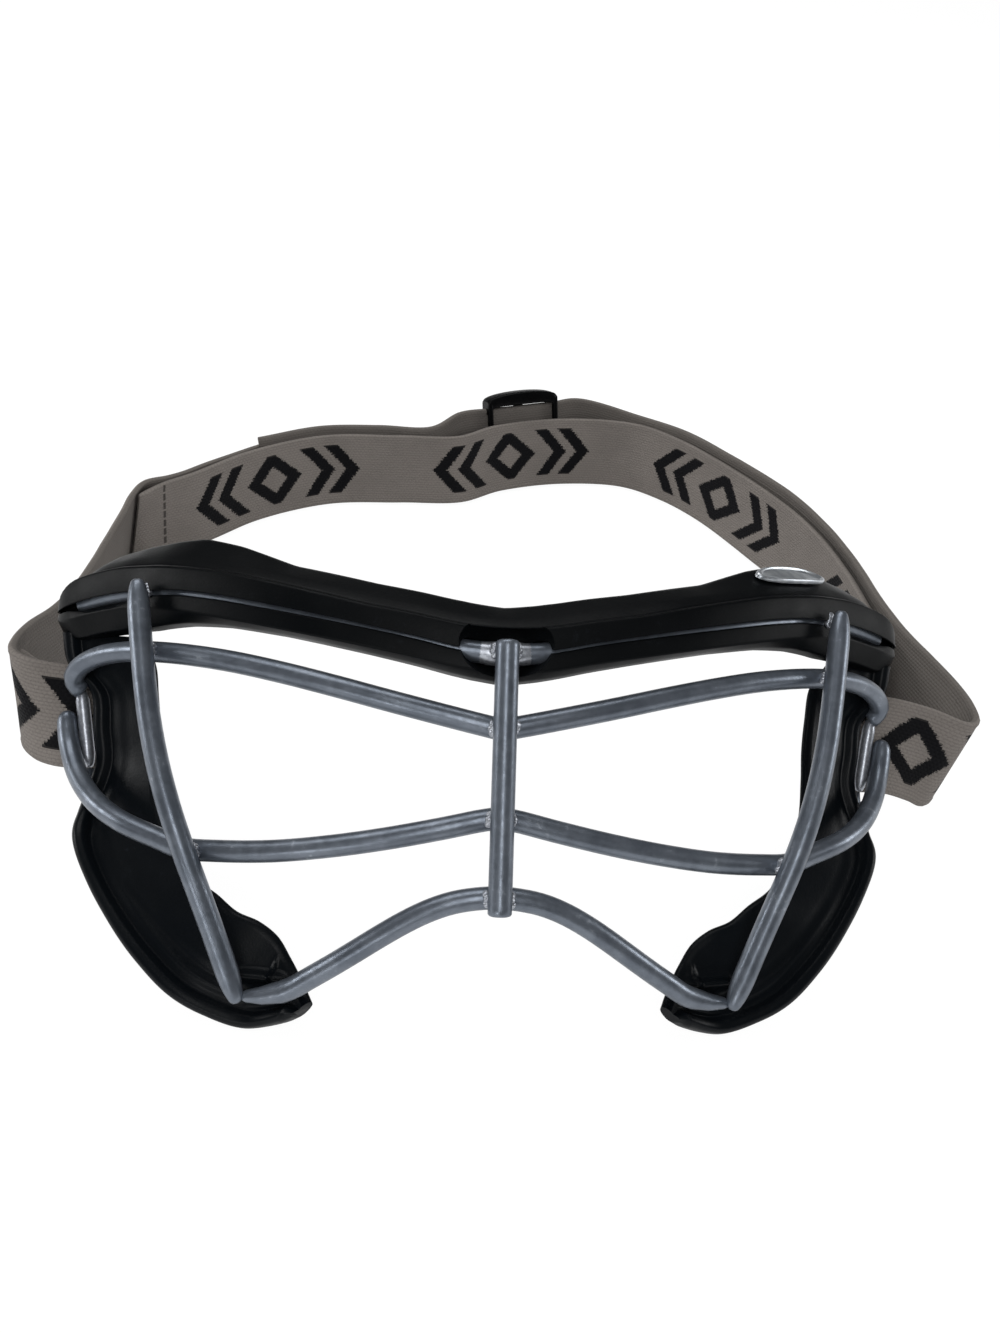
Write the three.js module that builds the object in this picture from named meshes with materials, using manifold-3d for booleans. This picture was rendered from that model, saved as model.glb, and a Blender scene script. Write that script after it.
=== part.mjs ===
// Wire-cage goggles with an elastic head strap, standing on their feet and strap
import * as THREE from "three";
import { mergeVertices } from "three/addons/utils/BufferGeometryUtils.js";
import Module from "manifold-3d";

const wasm = await Module();
wasm.setup();

// Overall sizes
const faceWidth = 170;
const leanDegrees = 45;
const cageLiftShare = 0.18235;
const cageLift = faceWidth * cageLiftShare;
const clearance = 0.3;

// Cage wires
const wireDiameter = 4;
const postDiameter = 4.2;
const slotBarDiameter = 3;
const wireSides = 12;
const railSteps = 56;
const archSteps = 36;
const postSteps = 14;
const barSteps = 12;
const centrePostFootShare = -0.0012;
const centrePostTopShare = 0.2788;
const railDepth = (wireDiameter + postDiameter) / 2 + clearance;
const crossingShare = 1.17;

// Brow channel and forehead pad
const channelWall = 1.3;
const browSteps = 44;
const channelReachShare = 0.512;
const padReachShare = 0.505;
const lipLimitShare = 0.5;
const shelfShare = 1.5;
const toeShare = 2.2;
const notchHalfWidth = 7.5;
const notchHeight = 5.6;
const notchFootShare = 0.26824;
const notchDepth = 2.4;
const padThickness = 4.2;
const flangeReach = 4.6;

// Badge on the right brow rise
const badgeLength = 15.5;
const badgeHeight = 5;
const badgeThickness = 0.8;
const badgeSteps = 14;
const badgeCentreShare = 0.35059;
const badgeSlopeShare = 0.52;
const badgeBevelShare = 0.4;

// Cheek wings
const wingThickness = 2.2;
const rimRise = 2.6;
const rimWidth = 3.4;
const wingSteps = 40;
const edgeShare = 0.7;
const noseShare = 0.5;
const rimTopShare = 0.3;
const backShare = 0.6;

// Strap
const strapShare = 0.12353;
const strapWidth = faceWidth * strapShare;
const strapThickness = 1.5;
const strapPitch = 4.5;
const wrapShare = 0.08824;
const wrapRadius = faceWidth * wrapShare;
const layerGap = 0.81;
const layerStep = strapThickness + layerGap;
const stationSteps = 24;
const turnShare = 0.16;
const foldSteps = 5;
const wrapSides = 72;
const tailRise = 2.5;
const returnBackShares = [0.55, 0.5, 0.45];
const tailBackShares = [0.3, 0.25, 0.2, 0.1625];
const loopBackShares = [0.065, 0.09, 0.115, 0.14];

// Slider on the strap tail
const sliderLength = 24;
const sliderRail = 1.8;
const sliderDome = 0.6;
const sliderBarWidth = 3;
const sliderBarThickness = 1.6;
const sliderGap = 0.4;
const domeSteps = 10;
const domeShare = 0.9;
const trackStartShare = 0.325;
const trackEndShare = 0.415;
const trackStep = 8.6;
const loopRise = 0.4;

// Cage tables, each row a place across, in depth and up, in shares of the face width
const upperRailShares = [
  [0, 0, 0.1879],
  [0.0176, 0.0002, 0.1912],
  [0.0588, 0.0026, 0.2003],
  [0.1176, 0.0106, 0.2141],
  [0.1765, 0.0238, 0.2288],
  [0.2353, 0.0424, 0.2429],
  [0.2941, 0.0662, 0.2553],
  [0.3529, 0.0953, 0.2641],
  [0.3959, 0.12, 0.2679],
  [0.4235, 0.1388, 0.2682],
  [0.4471, 0.1559, 0.2662],
  [0.4682, 0.1724, 0.2606],
  [0.4835, 0.1859, 0.2518],
  [0.4906, 0.1965, 0.2412],
  [0.4876, 0.2035, 0.2329],
  [0.4818, 0.2071, 0.2276],
];
const lowerRailShares = [
  [0, 0, 0.0959],
  [0.0176, 0.0002, 0.0935],
  [0.0588, 0.0024, 0.0841],
  [0.1176, 0.0094, 0.0718],
  [0.1765, 0.0212, 0.0618],
  [0.2353, 0.0376, 0.0547],
  [0.2941, 0.0588, 0.0524],
  [0.3324, 0.0753, 0.0535],
  [0.3594, 0.0859, 0.0624],
  [0.4065, 0.1082, 0.0794],
  [0.4412, 0.1365, 0.0988],
  [0.4712, 0.1718, 0.1271],
  [0.4906, 0.1994, 0.1612],
  [0.4971, 0.2076, 0.1853],
  [0.4976, 0.2082, 0.2035],
];
const noseArchShares = [
  [0, 0, 0.0153],
  [0.0235, 0.0007, 0.0135],
  [0.0471, 0.0028, 0.0088],
  [0.0706, 0.0064, 0],
  [0.0941, 0.0113, -0.0124],
  [0.1176, 0.0176, -0.0271],
  [0.1412, 0.0253, -0.0429],
  [0.1647, 0.0347, -0.0588],
  [0.1882, 0.0453, -0.0741],
  [0.2118, 0.0553, -0.0888],
  [0.2353, 0.0624, -0.0959],
  [0.2512, 0.0653, -0.1],
];
const browWireShares = [
  [0, 0.0029, 0.2671],
  [0.0235, 0.0035, 0.2682],
  [0.0471, 0.0049, 0.2706],
  [0.0941, 0.0106, 0.2806],
  [0.1412, 0.02, 0.29],
  [0.1882, 0.0335, 0.2997],
  [0.2353, 0.0512, 0.3094],
  [0.2824, 0.0718, 0.3194],
  [0.3294, 0.0971, 0.3288],
  [0.3765, 0.1259, 0.3365],
  [0.4, 0.1418, 0.3382],
  [0.4235, 0.1576, 0.3388],
  [0.4588, 0.1824, 0.3353],
  [0.4882, 0.2018, 0.3288],
  [0.5118, 0.2165, 0.3224],
];
const uprightShares = [
  [0.2647, 0.0956, -0.1047],
  [0.2776, 0.0915, -0.0706],
  [0.2935, 0.0862, -0.0294],
  [0.3094, 0.0791, 0.0118],
  [0.3265, 0.0732, 0.0529],
  [0.3441, 0.0779, 0.0941],
  [0.3606, 0.0862, 0.1412],
  [0.3753, 0.0985, 0.1882],
  [0.3847, 0.1097, 0.2353],
  [0.3918, 0.1168, 0.2706],
  [0.3976, 0.1238, 0.3059],
  [0.4012, 0.1274, 0.3294],
  [0.4035, 0.1297, 0.3459],
];
const slotBarShares = [
  [0.47, 0.1944, 0.2647],
  [0.4735, 0.2176, 0.27],
  [0.4753, 0.2376, 0.2688],
  [0.4753, 0.2418, 0.2606],
  [0.4753, 0.2418, 0.1988],
  [0.4753, 0.2418, 0.1253],
  [0.4753, 0.2376, 0.1171],
  [0.4753, 0.2176, 0.1153],
  [0.4724, 0.1926, 0.1194],
];
const wingInnerShares = [
  [0.3976, 0.2071, 0.2847],
  [0.3959, 0.2059, 0.2594],
  [0.3906, 0.2047, 0.2224],
  [0.3859, 0.2018, 0.1859],
  [0.3835, 0.1971, 0.1471],
  [0.3765, 0.1882, 0.1],
  [0.3559, 0.1735, 0.0529],
  [0.3324, 0.1588, 0.0206],
  [0.3018, 0.1447, 0.0012],
  [0.2788, 0.1388, -0.0165],
  [0.2488, 0.1318, -0.0294],
  [0.2288, 0.1282, -0.0382],
  [0.2147, 0.1235, -0.0588],
  [0.1976, 0.1088, -0.0853],
  [0.1894, 0.0912, -0.1047],
];
const wingOuterShares = [
  [0.4565, 0.2388, 0.2859],
  [0.4476, 0.2382, 0.2588],
  [0.4447, 0.2365, 0.2206],
  [0.4435, 0.2329, 0.1824],
  [0.4318, 0.2312, 0.1529],
  [0.4676, 0.2224, 0.0824],
  [0.4694, 0.2035, 0.0559],
  [0.4441, 0.1835, 0.0059],
  [0.4135, 0.1659, -0.0347],
  [0.3794, 0.1494, -0.0724],
  [0.3412, 0.1365, -0.1047],
  [0.3, 0.13, -0.1247],
  [0.2559, 0.1229, -0.1359],
  [0.2165, 0.1059, -0.1271],
  [0.2035, 0.0976, -0.12],
];

// Strap tables, each row a place on the table in shares, then the way its width points
const bandShares = [
  [-0.5365, 0.8812, 0.0625, 0.2, 0, 0.98],
  [-0.5029, 0.9047, 0.0619, 0.05, 0.12, 0.98],
  [-0.4565, 0.9376, 0.0613, -0.08, 0.2, 0.98],
  [-0.3718, 1.0229, 0.0613, -0.12, 0.2, 0.97],
  [-0.2524, 1.0935, 0.0601, -0.11, 0.3, 0.95],
  [-0.1212, 1.1088, 0.061, -0.02, 0.26, 0.966],
  [-0.0147, 1.12, 0.061, -0.08, 0.245, 0.966],
  [0.0576, 1.1706, 0.0604, -0.13, 0.28, 0.95],
  [0.1806, 1.2135, 0.0595, -0.07, 0.335, 0.94],
  [0.31, 1.2118, 0.0601, 0.13, 0.28, 0.95],
  [0.3835, 1.16, 0.0619, 0.14, 0.15, 0.98],
  [0.4441, 1.0871, 0.0625, 0.13, 0.08, 0.98],
  [0.5194, 0.9624, 0.0619, 0.22, 0.08, 0.97],
  [0.5624, 0.8647, 0.0625, 0.13, 0.03, 0.99],
  [0.5859, 0.7588, 0.0631, 0.05, 0.04, 1],
  [0.59, 0.6412, 0.0672, 0.05, 0.12, 0.99],
  [0.58, 0.5471, 0.0766, 0.08, 0.24, 0.97],
  [0.5482, 0.4647, 0.0913, 0.08, 0.4, 0.91],
  [0.5071, 0.4, 0.1054, 0.04, 0.57, 0.82],
  [0.4724, 0.3606, 0.1136, 0.01, 0.66, 0.75],
];
const returnSideShares = [
  [0.5118, 0.3188, 0.1435, 0.04, 0.69, 0.72],
  [0.5588, 0.3159, 0.1324, 0.2, 0.6, 0.77],
  [0.5953, 0.3129, 0.1194, 0.42, 0.48, 0.77],
  [0.6141, 0.3282, 0.1153, 0.45, 0.44, 0.78],
  [0.6194, 0.3588, 0.1153, 0.4, 0.41, 0.82],
  [0.6176, 0.4, 0.1135, 0.34, 0.38, 0.86],
  [0.6118, 0.4647, 0.1053, 0.25, 0.33, 0.91],
  [0.6076, 0.5529, 0.09, 0.15, 0.24, 0.96],
  [0.6065, 0.6471, 0.0794, 0.08, 0.14, 0.985],
  [0.6024, 0.7647, 0.0741, 0.06, 0.06, 1],
  [0.5776, 0.8765, 0.0735, 0.13, 0.04, 0.99],
  [0.5376, 0.9747, 0.0735, 0.2, 0.07, 0.97],
];
const loopSideShares = [
  [-0.5118, 0.3194, 0.1447, -0.02, 0.67, 0.74],
  [-0.5459, 0.3294, 0.1447, -0.05, 0.52, 0.85],
  [-0.5676, 0.3506, 0.1435, -0.08, 0.4, 0.91],
  [-0.5741, 0.3853, 0.1371, -0.08, 0.36, 0.93],
  [-0.5706, 0.4265, 0.1276, -0.08, 0.33, 0.94],
  [-0.5612, 0.4941, 0.1047, -0.08, 0.25, 0.96],
  [-0.5565, 0.5706, 0.0835, -0.06, 0.18, 0.98],
  [-0.5541, 0.6412, 0.0706, -0.05, 0.12, 0.99],
  [-0.5524, 0.7235, 0.0641, 0, 0.05, 1],
  [-0.5529, 0.7824, 0.0635, 0.1, 0.02, 0.99],
  [-0.5535, 0.8294, 0.0629, 0.17, 0, 0.98],
  [-0.5518, 0.8735, 0.0629, 0.19, 0, 0.98],
  [-0.5365, 0.9094, 0.0629, 0.12, 0.06, 0.98],
];

// Brow section, each row a depth and a height in shares of the wire's seat radius
const channelSectionShares = [
  [-1, 0.22],
  [-0.71, 0.71],
  [0, 1],
  [0.71, 0.71],
  [1, 0],
  [0.71, -0.71],
  [0, -1],
];
// Edge heights along the brow: across, crease, lip, bottom and flange rise over the wire
const browEdgeShares = [
  [0, 0.0335, 0.0024, -0.0325, 0.053],
  [0.047, 0.0335, 0.0024, -0.029, 0.0555],
  [0.141, 0.0315, 0.004, -0.027, 0.0532],
  [0.235, 0.031, 0.0055, -0.0265, 0.0545],
  [0.3, 0.0295, 0.0055, -0.029, 0.0655],
  [0.345, 0.0285, 0.0045, -0.034, 0.069],
  [0.39, 0.027, 0, -0.043, 0.0615],
  [0.43, 0.027, -0.001, -0.046, 0.056],
  [0.52, 0.027, 0, -0.042, 0.05],
];

const lean = THREE.MathUtils.degToRad(leanDegrees);
const leanCos = Math.cos(lean);
const leanSin = Math.sin(lean);

function cagePoint(across, depth, up) {
  const y = up * leanSin + depth * leanCos;
  const z = up * leanCos - depth * leanSin + cageLift;
  return new THREE.Vector3(across, y, z);
}

function fullRow(half) {
  const left = half.slice(1).reverse().map(([x, w, u]) => [-x, w, u]);
  return left.concat(half);
}

function places(shares, depthOffset) {
  return shares.map(([x, w, u]) => cagePoint(x * faceWidth, w * faceWidth + depthOffset, u * faceWidth));
}

// Solids and booleans
function weld(geometry) {
  const bare = geometry.clone();
  for (const name of Object.keys(bare.attributes)) {
    if (name !== "position") bare.deleteAttribute(name);
  }
  return mergeVertices(bare, 1e-4);
}

function outward(geometry) {
  const position = geometry.attributes.position;
  const index = geometry.index.array;
  const a = new THREE.Vector3();
  const b = new THREE.Vector3();
  const c = new THREE.Vector3();
  let volume = 0;
  for (let i = 0; i < index.length; i += 3) {
    a.fromBufferAttribute(position, index[i]);
    b.fromBufferAttribute(position, index[i + 1]);
    c.fromBufferAttribute(position, index[i + 2]);
    volume += a.dot(b.cross(c));
  }
  if (volume < 0) {
    for (let i = 0; i < index.length; i += 3) {
      const first = index[i];
      index[i] = index[i + 1];
      index[i + 1] = first;
    }
  }
  return geometry;
}

function toSolid(geometry) {
  const welded = outward(weld(geometry));
  return new wasm.Manifold(new wasm.Mesh({
    numProp: 3,
    vertProperties: new Float32Array(welded.attributes.position.array),
    triVerts: new Uint32Array(welded.index.array),
  }));
}

function toGeometry(solid) {
  const mesh = solid.getMesh();
  const geometry = new THREE.BufferGeometry();
  geometry.setAttribute("position", new THREE.BufferAttribute(new Float32Array(mesh.vertProperties), 3));
  geometry.setIndex(new THREE.BufferAttribute(new Uint32Array(mesh.triVerts), 1));
  return geometry;
}

function tube(points, diameter, steps) {
  const outline = new THREE.Shape();
  for (let i = 0; i < wireSides; i += 1) {
    const turn = (i / wireSides) * Math.PI * 2;
    const x = (Math.cos(turn) * diameter) / 2;
    const y = (Math.sin(turn) * diameter) / 2;
    if (i === 0) outline.moveTo(x, y);
    else outline.lineTo(x, y);
  }
  outline.closePath();
  const path = new THREE.CatmullRomCurve3(points, false, "centripetal");
  return new THREE.ExtrudeGeometry(outline, { steps, extrudePath: path, curveSegments: wireSides });
}

// Joins rings of equal count into one closed skin, capped by the outline of each end
function loft(rings, startOutline, endOutline) {
  const count = rings[0].length;
  const values = [];
  const index = [];
  for (const ring of rings) {
    for (const point of ring) values.push(point.x, point.y, point.z);
  }
  for (let r = 0; r + 1 < rings.length; r += 1) {
    for (let i = 0; i < count; i += 1) {
      const a = r * count + i;
      const b = r * count + ((i + 1) % count);
      index.push(a, b, b + count, a, b + count, a + count);
    }
  }
  const last = (rings.length - 1) * count;
  for (const [p, q, s] of THREE.ShapeUtils.triangulateShape(startOutline, [])) {
    if (THREE.ShapeUtils.isClockWise(startOutline)) index.push(p, q, s);
    else index.push(p, s, q);
  }
  for (const [p, q, s] of THREE.ShapeUtils.triangulateShape(endOutline, [])) {
    if (THREE.ShapeUtils.isClockWise(endOutline)) index.push(last + p, last + s, last + q);
    else index.push(last + p, last + q, last + s);
  }
  const geometry = new THREE.BufferGeometry();
  geometry.setAttribute("position", new THREE.Float32BufferAttribute(values, 3));
  geometry.setIndex(index);
  return geometry;
}

// Value along a table whose first column rises
function along(table, place, column) {
  let i = 0;
  while (i + 2 < table.length && table[i + 1][0] < place) i += 1;
  const from = table[i];
  const to = table[i + 1];
  const part = THREE.MathUtils.clamp((place - from[0]) / (to[0] - from[0]), 0, 1);
  return from[column] + (to[column] - from[column]) * part;
}

// Brow frame: a place along the brow with its depth way square to the wire
const browCurve = new THREE.CatmullRomCurve3(
  fullRow(browWireShares).map(([x, w, u]) => new THREE.Vector3(x, w, u)),
  false,
  "centripetal",
);
const browSamples = browCurve.getPoints(browSteps * 6);

function browFrame(acrossShare) {
  let i = 0;
  while (i + 2 < browSamples.length && browSamples[i + 1].x < acrossShare) i += 1;
  const from = browSamples[i];
  const to = browSamples[i + 1];
  const part = (acrossShare - from.x) / (to.x - from.x);
  const centre = from.clone().lerp(to, part).multiplyScalar(faceWidth);
  const way = new THREE.Vector2(to.x - from.x, to.y - from.y).normalize();
  return { centre, way };
}

function browPoint(frame, depth, up) {
  const across = frame.centre.x - frame.way.y * depth;
  const back = frame.centre.y + frame.way.x * depth + railDepth;
  return cagePoint(across, back, frame.centre.z + up);
}

function browEdges(acrossShare) {
  const side = Math.abs(acrossShare);
  return {
    crease: along(browEdgeShares, side, 1) * faceWidth,
    lip: along(browEdgeShares, side, 2) * faceWidth,
    bottom: along(browEdgeShares, side, 3) * faceWidth,
    flange: along(browEdgeShares, side, 4) * faceWidth,
  };
}

const seatRadius = wireDiameter / 2 + clearance;
const seatRound = seatRadius / Math.cos(Math.PI / 8);
const channelFront = -seatRadius - channelWall;
const channelBack = seatRadius + channelWall;
const padFront = channelBack + clearance;
const padBack = padFront + padThickness;

function channelOutline(acrossShare) {
  const edge = browEdges(acrossShare);
  const seat = channelSectionShares.map(([w, u]) => [w * seatRound, u * seatRound]);
  seat[0][1] = Math.max(seat[0][1] + edge.lip, -seatRadius * lipLimitShare);
  return [
    [channelFront, Math.max(edge.lip, -seatRadius * lipLimitShare)],
    [channelFront + clearance, edge.crease],
    [channelFront + channelWall * shelfShare, edge.crease + clearance * 2],
    [channelBack - clearance, edge.crease + clearance * 2],
    [channelBack, edge.crease],
    [channelBack, edge.bottom + channelWall],
    [channelBack - channelWall, edge.bottom],
    [clearance, edge.bottom + clearance * 2],
    [0, -seatRadius - clearance],
  ].concat(seat.slice().reverse());
}

function padOutline(acrossShare) {
  const edge = browEdges(acrossShare);
  const shelf = edge.crease + clearance * 3;
  return [
    [padFront, edge.bottom + channelWall],
    [padFront, shelf],
    [channelFront + channelWall * shelfShare, shelf],
    [channelFront + channelWall * toeShare, shelf + channelWall],
    [flangeReach - channelWall, edge.flange],
    [flangeReach, edge.flange],
    [padBack - channelWall, edge.flange - channelWall],
    [padBack, edge.crease],
    [padBack, edge.bottom + channelWall * 2],
    [padBack - channelWall, edge.bottom + channelWall],
  ];
}

function browLoft(outlineAt, reachShare) {
  const rings = [];
  const outlines = [];
  for (let i = 0; i <= browSteps; i += 1) {
    const place = ((i / browSteps) * 2 - 1) * reachShare;
    const frame = browFrame(place);
    const outline = outlineAt(place);
    outlines.push(outline.map(([w, u]) => new THREE.Vector2(w, u)));
    rings.push(outline.map(([w, u]) => browPoint(frame, w, u)));
  }
  return loft(rings, outlines[0], outlines[browSteps]);
}

// Half-round notch in the brow lip, over the top of the centre post
function notchTool() {
  const outline = new THREE.Shape();
  outline.moveTo(-notchHalfWidth, -notchHeight);
  outline.lineTo(notchHalfWidth, -notchHeight);
  outline.lineTo(notchHalfWidth, 0);
  for (let i = 1; i < wireSides; i += 1) {
    const turn = (i / wireSides) * Math.PI;
    outline.lineTo(Math.cos(turn) * notchHalfWidth, Math.sin(turn) * notchHeight);
  }
  outline.lineTo(-notchHalfWidth, 0);
  outline.closePath();
  const depth = postDiameter + notchDepth;
  const geometry = new THREE.ExtrudeGeometry(outline, { depth, bevelEnabled: false });
  geometry.rotateX(Math.PI / 2);
  geometry.translate(0, depth - postDiameter / 2, notchFootShare * faceWidth);
  geometry.rotateX(-lean);
  geometry.translate(0, 0, cageLift);
  return geometry;
}

function cagePieces() {
  const frontOffset = railDepth - railDepth * crossingShare;
  const mirror = ([x, w, u]) => [-x, w, u];
  const post = [centrePostFootShare, centrePostTopShare].map((share) => cagePoint(0, 0, share * faceWidth));
  const browHalf = browWireShares.slice(0, -1);
  return {
    centre_upright: tube(post, postDiameter, 1),
    right_upright: tube(places(uprightShares, frontOffset), postDiameter, postSteps * 2),
    left_upright: tube(places(uprightShares.map(mirror), frontOffset), postDiameter, postSteps * 2),
    upper_rail: tube(places(fullRow(upperRailShares), railDepth), wireDiameter, railSteps),
    lower_rail: tube(places(fullRow(lowerRailShares), railDepth), wireDiameter, railSteps),
    nose_arch: tube(places(fullRow(noseArchShares), railDepth), wireDiameter, archSteps),
    brow_wire: tube(places(fullRow(browHalf), railDepth), wireDiameter, archSteps),
    right_slot_bar: tube(places(slotBarShares, railDepth), slotBarDiameter, barSteps * 2),
    left_slot_bar: tube(places(slotBarShares.map(mirror), railDepth), slotBarDiameter, barSteps * 2),
  };
}

// Badge: a thin oval plate following the sloping flange
function badge() {
  const rings = [];
  const outlines = [];
  for (let i = 0; i <= badgeSteps; i += 1) {
    const turn = (i / badgeSteps) * Math.PI;
    const reach = Math.max(Math.sin(turn), clearance);
    const place = badgeCentreShare - (Math.cos(turn) * badgeLength) / 2 / faceWidth;
    const frame = browFrame(place);
    const edge = browEdges(place);
    const low = new THREE.Vector2(channelFront + channelWall * toeShare, edge.crease + clearance * 3 + channelWall);
    const high = new THREE.Vector2(flangeReach - channelWall, edge.flange);
    const way = high.clone().sub(low).normalize();
    const lift = new THREE.Vector2(-way.y, way.x);
    const middle = low.clone().lerp(high, badgeSlopeShare);
    const half = (badgeHeight / 2) * reach;
    const outline = [
      [-half, clearance],
      [half, clearance],
      [half - badgeThickness * badgeBevelShare * reach, clearance + badgeThickness],
      [-half + badgeThickness * badgeBevelShare * reach, clearance + badgeThickness],
    ];
    outlines.push(outline.map(([s, t]) => new THREE.Vector2(s, t)));
    rings.push(outline.map(([s, t]) => {
      const spot = middle.clone().addScaledVector(way, s).addScaledVector(lift, t);
      return browPoint(frame, spot.x, spot.y);
    }));
  }
  return loft(rings, outlines[0], outlines[badgeSteps]);
}

// Cheek wing: a curved plate with a raised outer rim, cut flat where its foot stands
function wing(side) {
  const inner = new THREE.CatmullRomCurve3(places(wingInnerShares.map(([x, w, u]) => [x * side, w, u]), 0));
  const outer = new THREE.CatmullRomCurve3(places(wingOuterShares.map(([x, w, u]) => [x * side, w, u]), 0));
  const rings = [];
  let outline = [];
  const half = wingThickness / 2;
  for (let i = 0; i <= wingSteps; i += 1) {
    const part = i / wingSteps;
    const from = inner.getPoint(part);
    const to = outer.getPoint(part);
    const run = inner.getTangent(part).add(outer.getTangent(part)).normalize();
    const reach = to.clone().sub(from);
    const length = reach.length();
    reach.normalize();
    const front = new THREE.Vector3().crossVectors(run, reach).normalize();
    if (front.dot(cagePoint(0, -faceWidth, 0).sub(cagePoint(0, 0, 0))) < 0) front.negate();
    const rim = Math.min(rimWidth, length * noseShare);
    const rise = rimRise * Math.min(length / (rimWidth * 2), 1);
    outline = [
      [0, -half * edgeShare],
      [-half * noseShare, 0],
      [0, half * edgeShare],
      [half, half],
      [length - rim, half],
      [length - rim * edgeShare, rise],
      [length - rim * rimTopShare, rise + clearance],
      [length, rise - clearance],
      [length + clearance, half],
      [length, -half * backShare],
      [length - half, -half],
      [half, -half],
    ];
    rings.push(outline.map(([s, t]) => from.clone().addScaledVector(reach, s).addScaledVector(front, t)));
  }
  const caps = outline.map(([s, t]) => new THREE.Vector2(s, t));
  const plate = toSolid(loft(rings, caps, caps));
  const box = new THREE.BoxGeometry(faceWidth, faceWidth, wrapRadius);
  box.translate((side * faceWidth) / 2, 0, -wrapRadius / 2);
  return toGeometry(plate.subtract(toSolid(box)));
}

// Strap runs: stations with a centre and a width way
function stations(shares) {
  return shares.map(([x, y, z, wx, wy, wz]) => ({
    centre: new THREE.Vector3(x, y, z).multiplyScalar(faceWidth),
    wide: new THREE.Vector3(wx, wy, wz).normalize(),
  }));
}

function runThrough(list) {
  const centres = new THREE.CatmullRomCurve3(list.map((s) => s.centre), false, "centripetal");
  const ways = new THREE.CatmullRomCurve3(list.map((s) => s.wide), false, "catmullrom");
  return {
    at(place) {
      const part = place / (list.length - 1);
      const way = centres.getTangent(part);
      const wide = ways.getPoint(part).normalize();
      const out = new THREE.Vector3().crossVectors(wide, way).normalize();
      return { centre: centres.getPoint(part), wide, way, out };
    },
    end: list.length - 1,
  };
}

// One strap layer as a closed ribbon along its stations, from one place to another
function ribbon(list, from, to) {
  const run = runThrough(list);
  const half = strapWidth / 2;
  const thick = strapThickness / 2;
  const outline = [
    [-half, 0],
    [-half + thick, -thick],
    [-half / 2, -thick],
    [0, -thick],
    [half / 2, -thick],
    [half - thick, -thick],
    [half, 0],
    [half - thick, thick],
    [half / 2, thick],
    [0, thick],
    [-half / 2, thick],
    [-half + thick, thick],
  ];
  const rings = [];
  let last = null;
  const steps = Math.ceil((to - from) * stationSteps);
  for (let i = 0; i <= steps; i += 1) {
    const place = from + ((to - from) * i) / steps;
    const s = run.at(place);
    const turn = last ? last.way.angleTo(s.way) : Math.PI;
    const far = last ? last.centre.distanceTo(s.centre) : strapPitch;
    if (last && i < steps && far < strapPitch && turn < turnShare) continue;
    rings.push(outline.map(([v, t]) => s.centre.clone().addScaledVector(s.wide, v).addScaledVector(s.out, t)));
    last = s;
  }
  const caps = outline.map(([v, t]) => new THREE.Vector2(v, t));
  return loft(rings, caps, caps);
}

// Fold round a slot bar, from the inner leg to the way outward behind the rail's finger
const barPlace = slotBarShares[4];
const foldRadius = slotBarDiameter / 2 + clearance + strapThickness / 2;
const barDepth = barPlace[1] * faceWidth + railDepth;
const hinge = cagePoint(0, barDepth, barPlace[2] * faceWidth);

function foldStations(side) {
  const list = [];
  const wide = cagePoint(0, 0, faceWidth).sub(cagePoint(0, 0, 0)).normalize();
  for (let i = 0; i <= foldSteps; i += 1) {
    const turn = (i / foldSteps) * Math.PI / 2;
    const across = barPlace[0] * faceWidth - Math.cos(turn) * foldRadius;
    const depth = barDepth - Math.sin(turn) * foldRadius;
    list.push({ centre: cagePoint(across * side, depth, barPlace[2] * faceWidth), wide });
  }
  return list;
}

// The band's last station lies beside the slot bar, where its fold begins
function bandStations() {
  const list = stations(bandShares);
  const wide = cagePoint(0, 0, faceWidth).sub(cagePoint(0, 0, 0)).normalize();
  const across = barPlace[0] * faceWidth - foldRadius;
  list.push({ centre: cagePoint(across, barDepth + foldRadius, barPlace[2] * faceWidth), wide });
  return list;
}

function shifted(run, place, step, rise) {
  const s = run.at(place);
  const centre = s.centre.clone().addScaledVector(s.out, step).addScaledVector(s.wide, rise);
  return { centre, wide: s.wide };
}

// Straight stretch of the tail that carries the slider
function sliderTrack() {
  const run = runThrough(bandStations());
  const near = shifted(run, trackStartShare * run.end, trackStep, 0);
  const far = shifted(run, trackEndShare * run.end, trackStep, 0);
  const wide = near.wide.clone().add(far.wide).normalize();
  const height = (strapWidth / 2 + sliderGap + sliderRail) * wide.z + clearance * 4;
  near.centre.z = height;
  far.centre.z = height;
  const parts = [0, 1, 2, 3, 4].map((i) => i / 4);
  return parts.map((part) => ({ centre: far.centre.clone().lerp(near.centre, part), wide }));
}

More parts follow.
